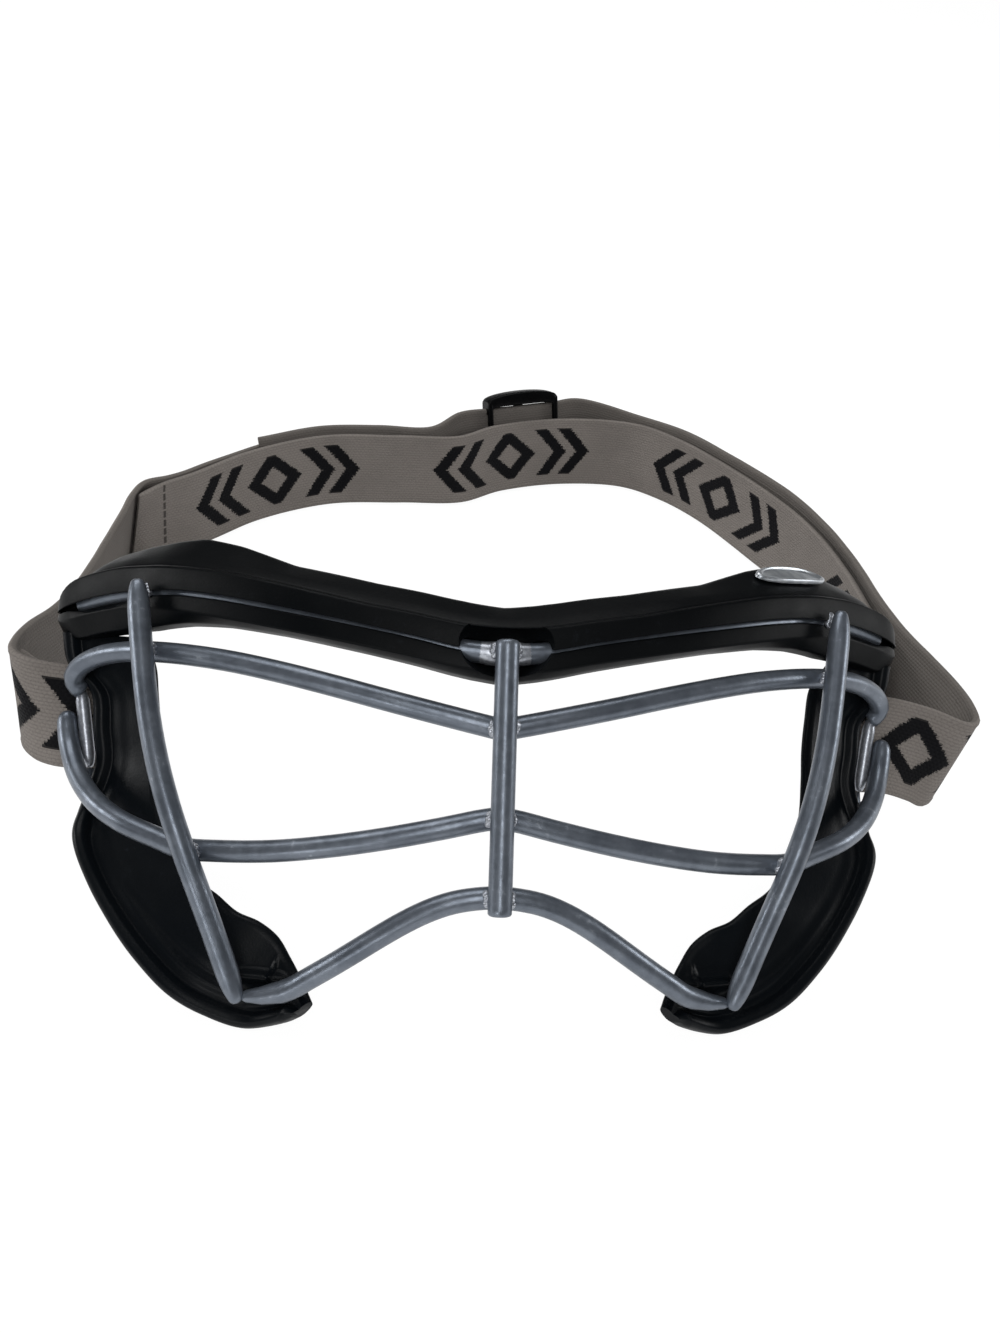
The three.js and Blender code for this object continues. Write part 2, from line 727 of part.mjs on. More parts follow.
// Slider: rails above and below the tail, end bars inside it and a centre bar outside
function slider() {
  const track = sliderTrack();
  const start = track[0].centre;
  const end = track[track.length - 1].centre;
  const way = start.clone().sub(end).normalize();
  const out = new THREE.Vector3().crossVectors(track[0].wide, way).normalize();
  const wide = new THREE.Vector3().crossVectors(way, out).normalize();
  const middle = start.clone().add(end).multiplyScalar(0.5);
  const frame = new THREE.Matrix4().makeBasis(way, wide, out).setPosition(middle);
  const inside = strapThickness / 2 + sliderGap;
  const opening = strapWidth / 2 + sliderGap;
  const deep = inside * 2 + sliderBarThickness * 2;
  const tall = opening * 2 + sliderRail;
  const solids = [-1, 1].map((side) => {
    const rail = new THREE.BoxGeometry(sliderLength, sliderRail, deep);
    rail.translate(0, side * (opening + sliderRail / 2), 0);
    return rail;
  });
  for (const side of [-1, 1]) {
    const bar = new THREE.BoxGeometry(sliderBarWidth, tall, sliderBarThickness);
    bar.translate((side * (sliderLength - sliderBarWidth)) / 2, 0, -inside - sliderBarThickness / 2);
    solids.push(bar);
  }
  const centreBar = new THREE.BoxGeometry(sliderBarWidth, tall, sliderBarThickness);
  centreBar.translate(0, 0, inside + sliderBarThickness / 2);
  solids.push(centreBar);
  const dome = new THREE.Shape();
  const rise = opening + sliderRail / 2;
  dome.moveTo(-sliderLength / 2, rise);
  dome.lineTo(sliderLength / 2, rise);
  for (let i = 0; i <= domeSteps; i += 1) {
    const part = 1 - (i / domeSteps) * 2;
    const top = opening + sliderRail + sliderDome * Math.sqrt(1 - part * part * domeShare);
    dome.lineTo((part * sliderLength) / 2, top);
  }
  dome.closePath();
  const cap = new THREE.ExtrudeGeometry(dome, { depth: deep, bevelEnabled: false });
  cap.translate(0, 0, -deep / 2);
  solids.push(cap);
  let whole = null;
  for (const geometry of solids) {
    geometry.applyMatrix4(frame);
    const solid = toSolid(geometry);
    whole = whole ? whole.add(solid) : solid;
  }
  return toGeometry(whole);
}

function wrapTool(extra) {
  const tool = new THREE.CylinderGeometry(wrapRadius + extra, wrapRadius + extra, faceWidth * 2, wrapSides);
  tool.rotateZ(Math.PI / 2);
  tool.translate(0, hinge.y, hinge.z);
  return toSolid(tool);
}

function strapPieces() {
  const band = bandStations();
  const bandRun = runThrough(band);
  const innerEnd = band[band.length - 1];
  const returnSide = stations(returnSideShares);
  const loopSide = stations(loopSideShares);
  const rightFold = foldStations(1);
  const leftFold = foldStations(-1);
  const mirrored = (s) => ({
    centre: new THREE.Vector3(-s.centre.x, s.centre.y, s.centre.z),
    wide: new THREE.Vector3(-s.wide.x, s.wide.y, s.wide.z),
  });
  const behind = (share, rise) => shifted(bandRun, share * bandRun.end, layerStep, rise);
  const back = returnBackShares.map((share) => behind(share, tailRise));
  back.push(...sliderTrack());
  back.push(...tailBackShares.map((share) => behind(share, tailRise)));
  const loopBack = loopBackShares.map((share) => behind(share, loopRise));
  const bandAll = band.concat(rightFold.slice(0, 2));
  const returnAll = rightFold.slice(4).concat(returnSide, back);
  const wrapRight = [band[band.length - 3], band[band.length - 2], innerEnd]
    .concat(rightFold, returnSide.slice(0, 8));
  const loopAll = leftFold.slice(4).concat(loopSide, loopBack);
  const wrapLeft = [mirrored(band[band.length - 3]), mirrored(band[band.length - 2]), mirrored(innerEnd)]
    .concat(leftFold, loopSide.slice(0, 6));
  const inside = wrapTool(0);
  const outside = wrapTool(clearance);
  const bandSolid = toSolid(ribbon(bandAll, 0, band.length - 2));
  const returnSolid = toSolid(ribbon(returnAll, 0, returnAll.length - 1));
  const loopSolid = toSolid(ribbon(loopAll, 0, loopAll.length - 1));
  const rightSolid = toSolid(ribbon(wrapRight, 0, wrapRight.length - 1));
  const leftSolid = toSolid(ribbon(wrapLeft, 0, wrapLeft.length - 1));
  return {
    strap_band: toGeometry(bandSolid.subtract(outside)),
    strap_return: toGeometry(returnSolid.subtract(outside)),
    strap_left: toGeometry(loopSolid.subtract(outside)),
    right_strap_wrap: toGeometry(rightSolid.intersect(inside)),
    left_strap_wrap: toGeometry(leftSolid.intersect(inside)),
  };
}

const pieces = { ...cagePieces(), ...strapPieces() };
pieces.brow_channel = toGeometry(toSolid(browLoft(channelOutline, channelReachShare)).subtract(toSolid(notchTool())));
pieces.forehead_pad = browLoft(padOutline, padReachShare);
pieces.badge = badge();
pieces.slider = slider();
pieces.right_cheek_wing = wing(1);
pieces.left_cheek_wing = wing(-1);

// Looks
const looks = {
  wire: new THREE.MeshStandardMaterial({ color: 0x6b7078, roughness: 0.35, metalness: 0.6 }),
  rubber: new THREE.MeshStandardMaterial({ color: 0x15161a, roughness: 0.6, metalness: 0 }),
  webbing: new THREE.MeshStandardMaterial({ color: 0x76706f, roughness: 0.9, metalness: 0 }),
  silver: new THREE.MeshStandardMaterial({ color: 0xc9ccd0, roughness: 0.3, metalness: 0.9 }),
};

function lookFor(name) {
  if (name === "badge") return looks.silver;
  if (name.includes("strap")) return looks.webbing;
  if (/channel|pad|wing|slider/.test(name)) return looks.rubber;
  return looks.wire;
}

// The origin lies under the middle of the whole part, at its lowest level
const meshes = Object.entries(pieces).map(([name, geometry]) => {
  const mesh = new THREE.Mesh(outward(weld(geometry)), lookFor(name));
  mesh.name = name;
  return mesh;
});
const bounds = new THREE.Box3();
for (const mesh of meshes) bounds.expandByObject(mesh);
const middle = bounds.getCenter(new THREE.Vector3());

const group = new THREE.Group();
for (const mesh of meshes) {
  mesh.position.set(-middle.x, -middle.y, -bounds.min.z);
  group.add(mesh);
}

export default group;
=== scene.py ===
import math
import random

import bmesh
import bpy
from mathutils import Matrix, Vector, noise


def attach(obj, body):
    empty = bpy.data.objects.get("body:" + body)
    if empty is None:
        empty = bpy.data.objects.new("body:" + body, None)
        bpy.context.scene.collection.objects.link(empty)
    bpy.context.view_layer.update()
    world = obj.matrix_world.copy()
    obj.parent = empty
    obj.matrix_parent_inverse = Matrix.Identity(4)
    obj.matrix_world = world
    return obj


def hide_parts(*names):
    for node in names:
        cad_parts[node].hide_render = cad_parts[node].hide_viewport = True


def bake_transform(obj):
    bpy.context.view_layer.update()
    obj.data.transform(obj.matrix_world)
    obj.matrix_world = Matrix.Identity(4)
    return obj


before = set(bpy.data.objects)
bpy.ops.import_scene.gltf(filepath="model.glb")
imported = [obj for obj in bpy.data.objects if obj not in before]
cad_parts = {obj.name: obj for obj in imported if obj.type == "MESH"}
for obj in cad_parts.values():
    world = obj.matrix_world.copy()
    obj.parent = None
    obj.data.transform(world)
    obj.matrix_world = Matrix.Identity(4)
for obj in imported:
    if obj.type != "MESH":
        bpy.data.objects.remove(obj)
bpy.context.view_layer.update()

# Places are millimetres on the table, with the cage leaning back at 45 degrees
tableShift = Vector((-5.404736, -107.712510, 0.0))
cageLift = 31.0
leanShare = math.sqrt(0.5)
millimetre = 0.001


def inFrame(p):
    return (Vector(p) + tableShift) * millimetre


def cagePoint(x, w, u):
    return Vector((x, (u + w) * leanShare, (u - w) * leanShare + cageLift))


# A hex colour's sRGB values as linear light, and an opaque alpha
def toLinear(hexColour):
    values = [int(hexColour[i:i + 2], 16) / 255 for i in (1, 3, 5)]
    return [v / 12.92 if v <= 0.04045 else ((v + 0.055) / 1.055) ** 2.4 for v in values] + [1.0]


def clamped(value):
    return min(max(value, 0), 1)


# Smooth path through points, asked by place: 0 is the first point, 1 the second
def curveThrough(points, power=0.25):
    pts = [Vector(p) for p in points]
    last = len(pts) - 1

    def at(place):
        i = max(0, min(int(place), last - 1))
        t = place - i
        p1, p2 = pts[i], pts[i + 1]
        p0 = pts[i - 1] if i > 0 else p1 * 2 - p2
        p3 = pts[i + 2] if i + 2 <= last else p2 * 2 - p1
        if power == 0:
            m1, m2 = (p2 - p0) / 2, (p3 - p1) / 2
        else:
            spans = ((p0, p1), (p1, p2), (p2, p3))
            d0, d1, d2 = [max((b - a).length_squared ** power, 1e-3) for a, b in spans]
            m1 = ((p1 - p0) / d0 - (p2 - p0) / (d0 + d1) + (p2 - p1) / d1) * d1
            m2 = ((p2 - p1) / d1 - (p3 - p1) / (d1 + d2) + (p3 - p2) / d2) * d1
        a = p1 * 2 - p2 * 2 + m1 + m2
        b = p2 * 3 - p1 * 3 - m1 * 2 - m2
        return a * t ** 3 + b * t ** 2 + m1 * t + p1

    at.end = last
    return at


def wayAt(at, place):
    step = 0.01
    return (at(min(place + step, at.end)) - at(max(place - step, 0.0))).normalized()


# Evenly spaced places along a path, each with its distance from the start
def evenPlaces(at, spacing, fineSteps=60):
    fine = [i / fineSteps for i in range(at.end * fineSteps + 1)]
    far = [0.0]
    for i in range(1, len(fine)):
        far.append(far[-1] + (at(fine[i]) - at(fine[i - 1])).length)
    count = max(2, round(far[-1] / spacing))
    out, j = [], 0
    for k in range(count + 1):
        goal = far[-1] * k / count
        while j + 2 < len(far) and far[j + 1] < goal:
            j += 1
        part = (goal - far[j]) / max(far[j + 1] - far[j], 1e-9)
        out.append((min(fine[j] + (fine[j + 1] - fine[j]) * part, at.end), goal))
    return out


plainShift = 100.0  # added to the width coordinate of faces that show no motif


# A grid bent onto rings of points, joined along their start and filled at both ends. Its UV map is in millimetres
# for cloth, and the faces in the plain range get the shifted width coordinate
def skin(name, rows, lengths=None, widths=None, plain=None):
    bm = bmesh.new()
    count, around = len(rows), len(rows[0])
    uv = bm.loops.layers.uv.new("cloth")
    bmesh.ops.create_grid(bm, x_segments=count - 1, y_segments=around, size=1)
    places = {}
    for v in bm.verts:
        i = round((v.co.x + 1) / 2 * (count - 1))
        j = round((v.co.y + 1) / 2 * around)
        places[v.index] = (i, j)
        v.co = inFrame(rows[i][j % around])
    for f in bm.faces:
        firstSide = min(places[v.index][1] for v in f.verts)
        shift = plainShift if plain and plain[0] <= firstSide < plain[1] else 0.0
        for loop in f.loops:
            i, j = places[loop.vert.index]
            loop[uv].uv = (lengths[i] if lengths else float(i), (widths[j] if widths else float(j)) + shift)
    bmesh.ops.remove_doubles(bm, verts=bm.verts, dist=1e-6)
    bmesh.ops.holes_fill(bm, edges=[e for e in bm.edges if len(e.link_faces) == 1], sides=0)
    bmesh.ops.recalc_face_normals(bm, faces=bm.faces)
    return toObject(name, bm)


def toObject(name, bm):
    for f in bm.faces:
        f.smooth = True
    mesh = bpy.data.meshes.new(name)
    bm.to_mesh(mesh)
    bm.free()
    piece = bpy.data.objects.new(name, mesh)
    bpy.context.scene.collection.objects.link(piece)
    return piece


# Sharp edges stay crisp where faces meet at more than the angle
def crease(piece, degrees=35):
    bm = bmesh.new()
    bm.from_mesh(piece.data)
    for e in bm.edges:
        e.smooth = not (len(e.link_faces) == 2 and e.calc_face_angle(0) > math.radians(degrees))
    bm.to_mesh(piece.data)
    bm.free()


def applied(piece):
    bpy.context.view_layer.update()
    mesh = bpy.data.meshes.new_from_object(piece.evaluated_get(bpy.context.evaluated_depsgraph_get()))
    piece.modifiers.clear()
    piece.data = mesh
    return piece


def settle(piece, body, material, replaced=()):
    piece.data.materials.clear()
    piece.data.materials.append(material)
    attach(piece, body)
    if replaced:
        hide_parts(*replaced)
    return piece


# Materials
smooth = {"interpolation_type": "SMOOTHSTEP"}
colourMix = {"data_type": "RGBA"}
noiseRange = (0.3, 0.7)  # the values that a noise texture mostly has


# Adds one node: each input is a value or a link, by name or number, and the node's own settings follow
def addNode(tree, kind, inputs=(), output=0, **settings):
    node = tree.nodes.new("ShaderNode" + kind)
    for key, value in settings.items():
        setattr(node, key, value)
    for key, value in (inputs.items() if isinstance(inputs, dict) else enumerate(inputs)):
        if isinstance(value, bpy.types.NodeSocket):
            tree.links.new(value, node.inputs[key])
        else:
            node.inputs[key].default_value = value
    return node.outputs[output]


def newMaterial(name, colour, settings):
    material = bpy.data.materials.new(name)
    material.use_nodes = True
    tree = material.node_tree
    shader = tree.nodes["Principled BSDF"]
    shader.inputs["Base Color"].default_value = toLinear(colour)
    for key, value in settings.items():
        shader.inputs[key].default_value = value
    return material, tree, shader


def feed(tree, shader, sources):
    for key, source in sources.items():
        tree.links.new(source, shader.inputs[key])


# Steel wire under a graphite-grey satin coat: soft streaks, fine orange peel and a few bright rubbed spots
wireLook = {
    "coat": "#757c86", "rubbed": "#a8afb8", "dark": "#646b75",
    "metallic": 0.68, "roughness": 0.36, "satin": (0.3, 0.4),
    "streakPerMetre": 160, "peelPerMetre": 900,  # streaks some 6 mm long, peel about 1 mm
    "streakRange": (0.35, 0.65), "spotRange": (0.36, 0.5), "spotShare": 0.5, "bump": 0.12, "bumpDepth": 0.0002,
}


def wireMaterial():
    look = wireLook
    base = {"Metallic": look["metallic"], "Roughness": look["roughness"]}
    material, tree, shader = newMaterial("graphite_coated_steel", look["coat"], base)
    place = addNode(tree, "TexCoord", output="Object")
    streaks = {"Vector": place, "Scale": look["streakPerMetre"], "Detail": 4.0, "Roughness": 0.6}
    cloud = addNode(tree, "TexNoise", streaks)
    grit = addNode(tree, "TexNoise", {"Vector": place, "Scale": look["peelPerMetre"], "Detail": 3.0})
    both = addNode(tree, "Math", (cloud, grit), operation="MULTIPLY")
    streak = addNode(tree, "MapRange", (cloud, *look["streakRange"]), **smooth)
    spots = addNode(tree, "MapRange", (both, *look["spotRange"], 0.0, look["spotShare"]), **smooth)
    tone = toLinear(look["dark"])
    for share, colour in ((streak, "coat"), (spots, "rubbed")):
        tone = addNode(tree, "Mix", {0: share, 6: tone, 7: toLinear(look[colour])}, 2, **colourMix)
    satin = addNode(tree, "MapRange", (grit, *noiseRange, *look["satin"]), **smooth)
    bump = addNode(tree, "Bump", {"Height": grit, "Strength": look["bump"], "Distance": look["bumpDepth"]})
    feed(tree, shader, {"Base Color": tone, "Roughness": satin, "Normal": bump})
    return material


# Moulded synthetic rubber: near black and satin, with faint dust, flow marks and a fine grain.
# The slider's moulded acetal is a little smoother and darker
rubberLook = {
    "dust": "#20242a", "roughness": 0.4,
    # each noise's scale, detail and roughness: flow marks of 22 mm, dust of 3 mm and a grain of 0.4 mm
    "flow": (45, 5.0, 0.55), "fleck": (300, 8.0, 0.8), "grain": (2600, 2.0, 0.5),
    "flowRange": (0.45, 0.7), "fleckRange": (0.55, 0.75), "bump": 0.18, "bumpDepth": 0.00015,
    # each rubber's black, how much it mirrors, and its least and most roughness
    "rim": ("#06080a", 0.09, 0.34, 0.5), "cheek": ("#080c10", 0.14, 0.3, 0.42),
    "buckle": ("#050506", 0.09, 0.3, 0.45),
}


def rubberMaterial(name, kind):
    look = rubberLook
    black, shine, low, high = look[kind]
    base = {"Roughness": look["roughness"], "Specular IOR Level": shine}
    material, tree, shader = newMaterial(name, black, base)
    place = addNode(tree, "TexCoord", output="Object")
    noises = []
    for scale, detail, roughness in (look["flow"], look["fleck"], look["grain"]):
        values = {"Vector": place, "Scale": scale, "Detail": detail, "Roughness": roughness}
        noises.append(addNode(tree, "TexNoise", values))
    flow, fleck, grain = noises
    patches = addNode(tree, "MapRange", (flow, *look["flowRange"]), **smooth)
    specks = addNode(tree, "MapRange", (fleck, *look["fleckRange"]), **smooth)
    dust = addNode(tree, "Math", (patches, specks), operation="MULTIPLY")
    tone = addNode(tree, "Mix", {0: dust, 6: toLinear(black), 7: toLinear(look["dust"])}, 2, **colourMix)
    satin = addNode(tree, "MapRange", (flow, *noiseRange, low, high), **smooth)
    height = addNode(tree, "Math", (grain, fleck), operation="ADD")
    bump = addNode(tree, "Bump", {"Height": height, "Strength": look["bump"], "Distance": look["bumpDepth"]})
    feed(tree, shader, {"Base Color": tone, "Roughness": satin, "Normal": bump})
    return material


# Woven elastic: warm grey yarn with a black jacquard row of lozenges between chevrons, drawn thread by thread, with
# painted shade in the dips between the threads and on the plain face.
# All lengths are millimetres, as in the strap's own UV map
weaveLook = {
    # back is a painted shade: the plain face with no motif is darkened towards it, by the share after it, for the
    # shade inside the strap's loops
    "grey": "#807a75", "greyDark": "#68635f", "black": "#0c0c0f", "back": "#5d5955", "backShare": 0.6,
    "threadLength": 1.1, "threadWidth": 0.75,  # coarser than the real yarn, so that it shows
    # noises: scale per mm, detail and roughness of the motif's wander, the yarn's fuzz and the worn patches
    "wander": (1.4, 2.0, 0.5), "fuzz": (3.5, 4.0, 0.7), "worn": (0.08, 3.0, 0.5),
    # the share that weighs relief and fuzz against each other: in the tone it scales the relief's painted shade,
    # and in the bump the fuzz; then the range that turns the tone's sum into a share; then the worn patches' range
    # and share
    "shadeAndFuzzShare": 0.35, "shadeAndFuzzRange": (0.35, 0.85), "wornRange": (0.35, 0.7), "wornShare": 0.25,
    "ribPower": 0.6, "dip": (0.6, 0.4), "bump": 0.5, "bumpDepth": 0.00025,
    # the motif: from one to the next, the first one's middle, half its height, and how far its edge wanders
    "pitch": 77.0, "start": 45.0, "half": 7.25, "fray": 1.3, "edgeSoft": 0.2,
    "lozengeHalf": 9.4, "lozengeTip": 1.5, "lozengeEdge": (0.94, 1.0), "lozengeHole": (0.42, 0.48),
    "chevrons": ((17.6, 2.1), (25.2, 2.1)), "slope": 0.85, "strokeSoft": (0.15, 0.25),
    # a dashed line of stitches near the start of each strap
    "hem": 8.5, "hemHalf": 0.4, "hemSoft": 0.15, "stitch": 2.6, "stitchRange": (0.25, 0.45), "stitchInk": 0.7,
}


def webbingMaterial():
    look = weaveLook
    base = {"Roughness": 0.9, "Specular IOR Level": 0.12, "Sheen Weight": 0.05, "Sheen Roughness": 0.5}
    material, tree, shader = newMaterial("woven_elastic", look["grey"], base)
    uv = addNode(tree, "UVMap", uv_map="cloth")
    along = addNode(tree, "SeparateXYZ", (uv,))
    across = along.node.outputs[1]
    bare = addNode(tree, "Math", (across, plainShift / 2), operation="GREATER_THAN")
    side = addNode(tree, "Math", (bare, -plainShift, across), operation="MULTIPLY_ADD")
    noises = []
    for scale, detail, roughness in (look["wander"], look["fuzz"], look["worn"]):
        values = {"Vector": uv, "Scale": scale, "Detail": detail, "Roughness": roughness}
        noises.append(addNode(tree, "TexNoise", values, noise_dimensions="2D"))
    wander, fuzz, patches = noises

    # The motif in steps of half a thread: x runs from its middle along the strap, y from the strap's middle
    halfPitch = look["pitch"] / 2
    x, y = addNode(tree, "Math", (wander, look["fray"], -look["fray"] / 2), operation="MULTIPLY_ADD"), side
    for operation, value in (("ADD", along), ("SNAP", look["threadLength"] / 2),
                             ("SUBTRACT", look["start"] - halfPitch), ("FLOORED_MODULO", look["pitch"]),
                             ("SUBTRACT", halfPitch), ("ABSOLUTE", 0.0)):
        x = addNode(tree, "Math", (x, value), operation=operation)
    for operation, value in (("SNAP", look["threadWidth"] / 2), ("ABSOLUTE", 0.0)):
        y = addNode(tree, "Math", (y, value), operation=operation)
    xShare = addNode(tree, "Math", (x, look["lozengeHalf"]), operation="DIVIDE")
    yShare = addNode(tree, "Math", (y, look["half"] + look["lozengeTip"]), operation="DIVIDE")
    ring = addNode(tree, "Math", (xShare, yShare), operation="ADD")
    filled = addNode(tree, "MapRange", (ring, *look["lozengeEdge"], 1.0, 0.0), **smooth)
    hole = addNode(tree, "MapRange", (ring, *look["lozengeHole"]), **smooth)
    motif = addNode(tree, "Math", (filled, hole), operation="MULTIPLY")
    inner, outer = look["strokeSoft"]
    for apex, halfStroke in look["chevrons"]:
        off = addNode(tree, "Math", (y, look["slope"], x), operation="MULTIPLY_ADD")
        for operation, value in (("SUBTRACT", apex), ("ABSOLUTE", 0.0)):
            off = addNode(tree, "Math", (off, value), operation=operation)
        stroke = addNode(tree, "MapRange", (off, halfStroke - inner, halfStroke + outer, 1.0, 0.0), **smooth)
        motif = addNode(tree, "Math", (motif, stroke), operation="MAXIMUM")
    soft = look["edgeSoft"]
    inBand = addNode(tree, "MapRange", (y, look["half"] - soft, look["half"] + soft, 1.0, 0.0), **smooth)
    outside = addNode(tree, "Math", (1.0, bare), operation="SUBTRACT")
    for mask in (inBand, outside):
        motif = addNode(tree, "Math", (motif, mask), operation="MULTIPLY")

    # Weft ribs run along the strap, and each warp thread rises and dips across them
    rib = addNode(tree, "Math", (side, math.pi / look["threadWidth"]), operation="MULTIPLY")
    for operation, value in (("SINE", 0.0), ("ABSOLUTE", 0.0), ("POWER", look["ribPower"])):
        rib = addNode(tree, "Math", (rib, value), operation=operation)
    knit = side
    for operation, value in (("DIVIDE", look["threadWidth"]), ("FLOOR", 0.0), ("FLOORED_MODULO", 2.0),
                             ("MULTIPLY", math.pi / 2)):
        knit = addNode(tree, "Math", (knit, value), operation=operation)
    knit = addNode(tree, "Math", (along, math.pi / look["threadLength"], knit), operation="MULTIPLY_ADD")
    for operation in ("SINE", "ABSOLUTE"):
        knit = addNode(tree, "Math", (knit,), operation=operation)
    knit = addNode(tree, "Math", (knit, *look["dip"]), operation="MULTIPLY_ADD")
    height = addNode(tree, "Math", (rib, knit), operation="MULTIPLY")

    # The stitches show on both faces
    hem = addNode(tree, "Math", (along, look["hem"]), operation="SUBTRACT")
    hem = addNode(tree, "Math", (hem,), operation="ABSOLUTE")
    near, far = look["hemHalf"] - look["hemSoft"], look["hemHalf"] + look["hemSoft"]
    hem = addNode(tree, "MapRange", (hem, near, far, look["stitchInk"], 0.0), **smooth)
    dash = addNode(tree, "Math", (side, math.pi / look["stitch"]), operation="MULTIPLY")
    for operation in ("SINE", "ABSOLUTE"):
        dash = addNode(tree, "Math", (dash,), operation=operation)
    dash = addNode(tree, "MapRange", (dash, *look["stitchRange"]), **smooth)
    stitches = addNode(tree, "Math", (hem, dash), operation="MULTIPLY")

    # Painted shade with a random tone: the raised threads are drawn lighter and the dips between them darker,
    # following the weave's relief, and the yarn's fuzz varies it at random
    light = addNode(tree, "Math", (height, look["shadeAndFuzzShare"], fuzz), operation="MULTIPLY_ADD")
    light = addNode(tree, "MapRange", (light, *look["shadeAndFuzzRange"]), **smooth)
    worn = addNode(tree, "MapRange", (patches, *look["wornRange"], 0.0, look["wornShare"]), **smooth)
    # Painted shade: the plain face is mixed towards the darker back grey, for the shade inside the strap's loops
    backShade = addNode(tree, "Math", (bare, look["backShare"]), operation="MULTIPLY")
    ink = addNode(tree, "Math", (motif, stitches), operation="MAXIMUM")
    tone = toLinear(look["greyDark"])
    for share, colour in ((light, "grey"), (worn, "greyDark"), (backShade, "back"), (ink, "black")):
        tone = addNode(tree, "Mix", {0: share, 6: tone, 7: toLinear(look[colour])}, 2, **colourMix)
    relief = addNode(tree, "Math", (fuzz, look["shadeAndFuzzShare"], height), operation="MULTIPLY_ADD")
    bump = addNode(tree, "Bump", {"Height": relief, "Strength": look["bump"], "Distance": look["bumpDepth"]})
    feed(tree, shader, {"Base Color": tone, "Normal": bump})
    return material


# Badge plate: satin nickel-like plating whose gloss and tone drift a little, in patches of 2 mm
plateLook = {"metal": "#c3c8cd", "dull": "#b9bfc5", "bright": "#d0d4d8", "metallic": 0.85, "roughness": 0.28,
             "gritPerMetre": 500.0, "tone": (0.4, 0.65), "satin": (0.3, 0.38)}
# Welds and tie wires: bare bright steel with grit under 1 mm
weldLook = {"metal": "#a9adb5", "dull": "#a4a8b0", "bright": "#b9bdc4", "metallic": 0.8, "roughness": 0.36,
            "gritPerMetre": 1400.0, "tone": (0.45, 0.6)}


def brightMaterial(name, look):
    base = {"Metallic": look["metallic"], "Roughness": look["roughness"]}
    material, tree, shader = newMaterial(name, look["metal"], base)
    place = addNode(tree, "TexCoord", output="Object")
    grit = addNode(tree, "TexNoise", {"Vector": place, "Scale": look["gritPerMetre"], "Detail": 3.0})
    share = addNode(tree, "MapRange", (grit, *look["tone"]), **smooth)
    tone = addNode(tree, "Mix", {0: share, 6: toLinear(look["dull"]), 7: toLinear(look["bright"])}, 2, **colourMix)
    feed(tree, shader, {"Base Color": tone})
    if "satin" in look:
        satin = addNode(tree, "MapRange", (grit, *noiseRange, *look["satin"]), **smooth)
        feed(tree, shader, {"Roughness": satin})
    return material


wirePaint = wireMaterial()
weldMetal = brightMaterial("bright_weld_metal", weldLook)
silver = brightMaterial("satin_silver_plate", plateLook)
rubber = rubberMaterial("moulded_rubber", "rim")
wingRubber = rubberMaterial("moulded_rubber_cheek", "cheek")
buckleBlack = rubberMaterial("moulded_acetal", "buckle")
webbing = webbingMaterial()
print("materials ready")


# Wires
def mirrorRows(half):
    return [(-x, w, u) for x, w, u in reversed(half[1:])] + half


# Rows drawn halfway to their neighbours, for a wire that bends evenly
def eased(rows):
    out = [Vector(r) for r in rows]
    return out[:1] + [b / 2 + (a + c) / 4 for a, b, c in zip(out, out[1:], out[2:])] + out[-1:]


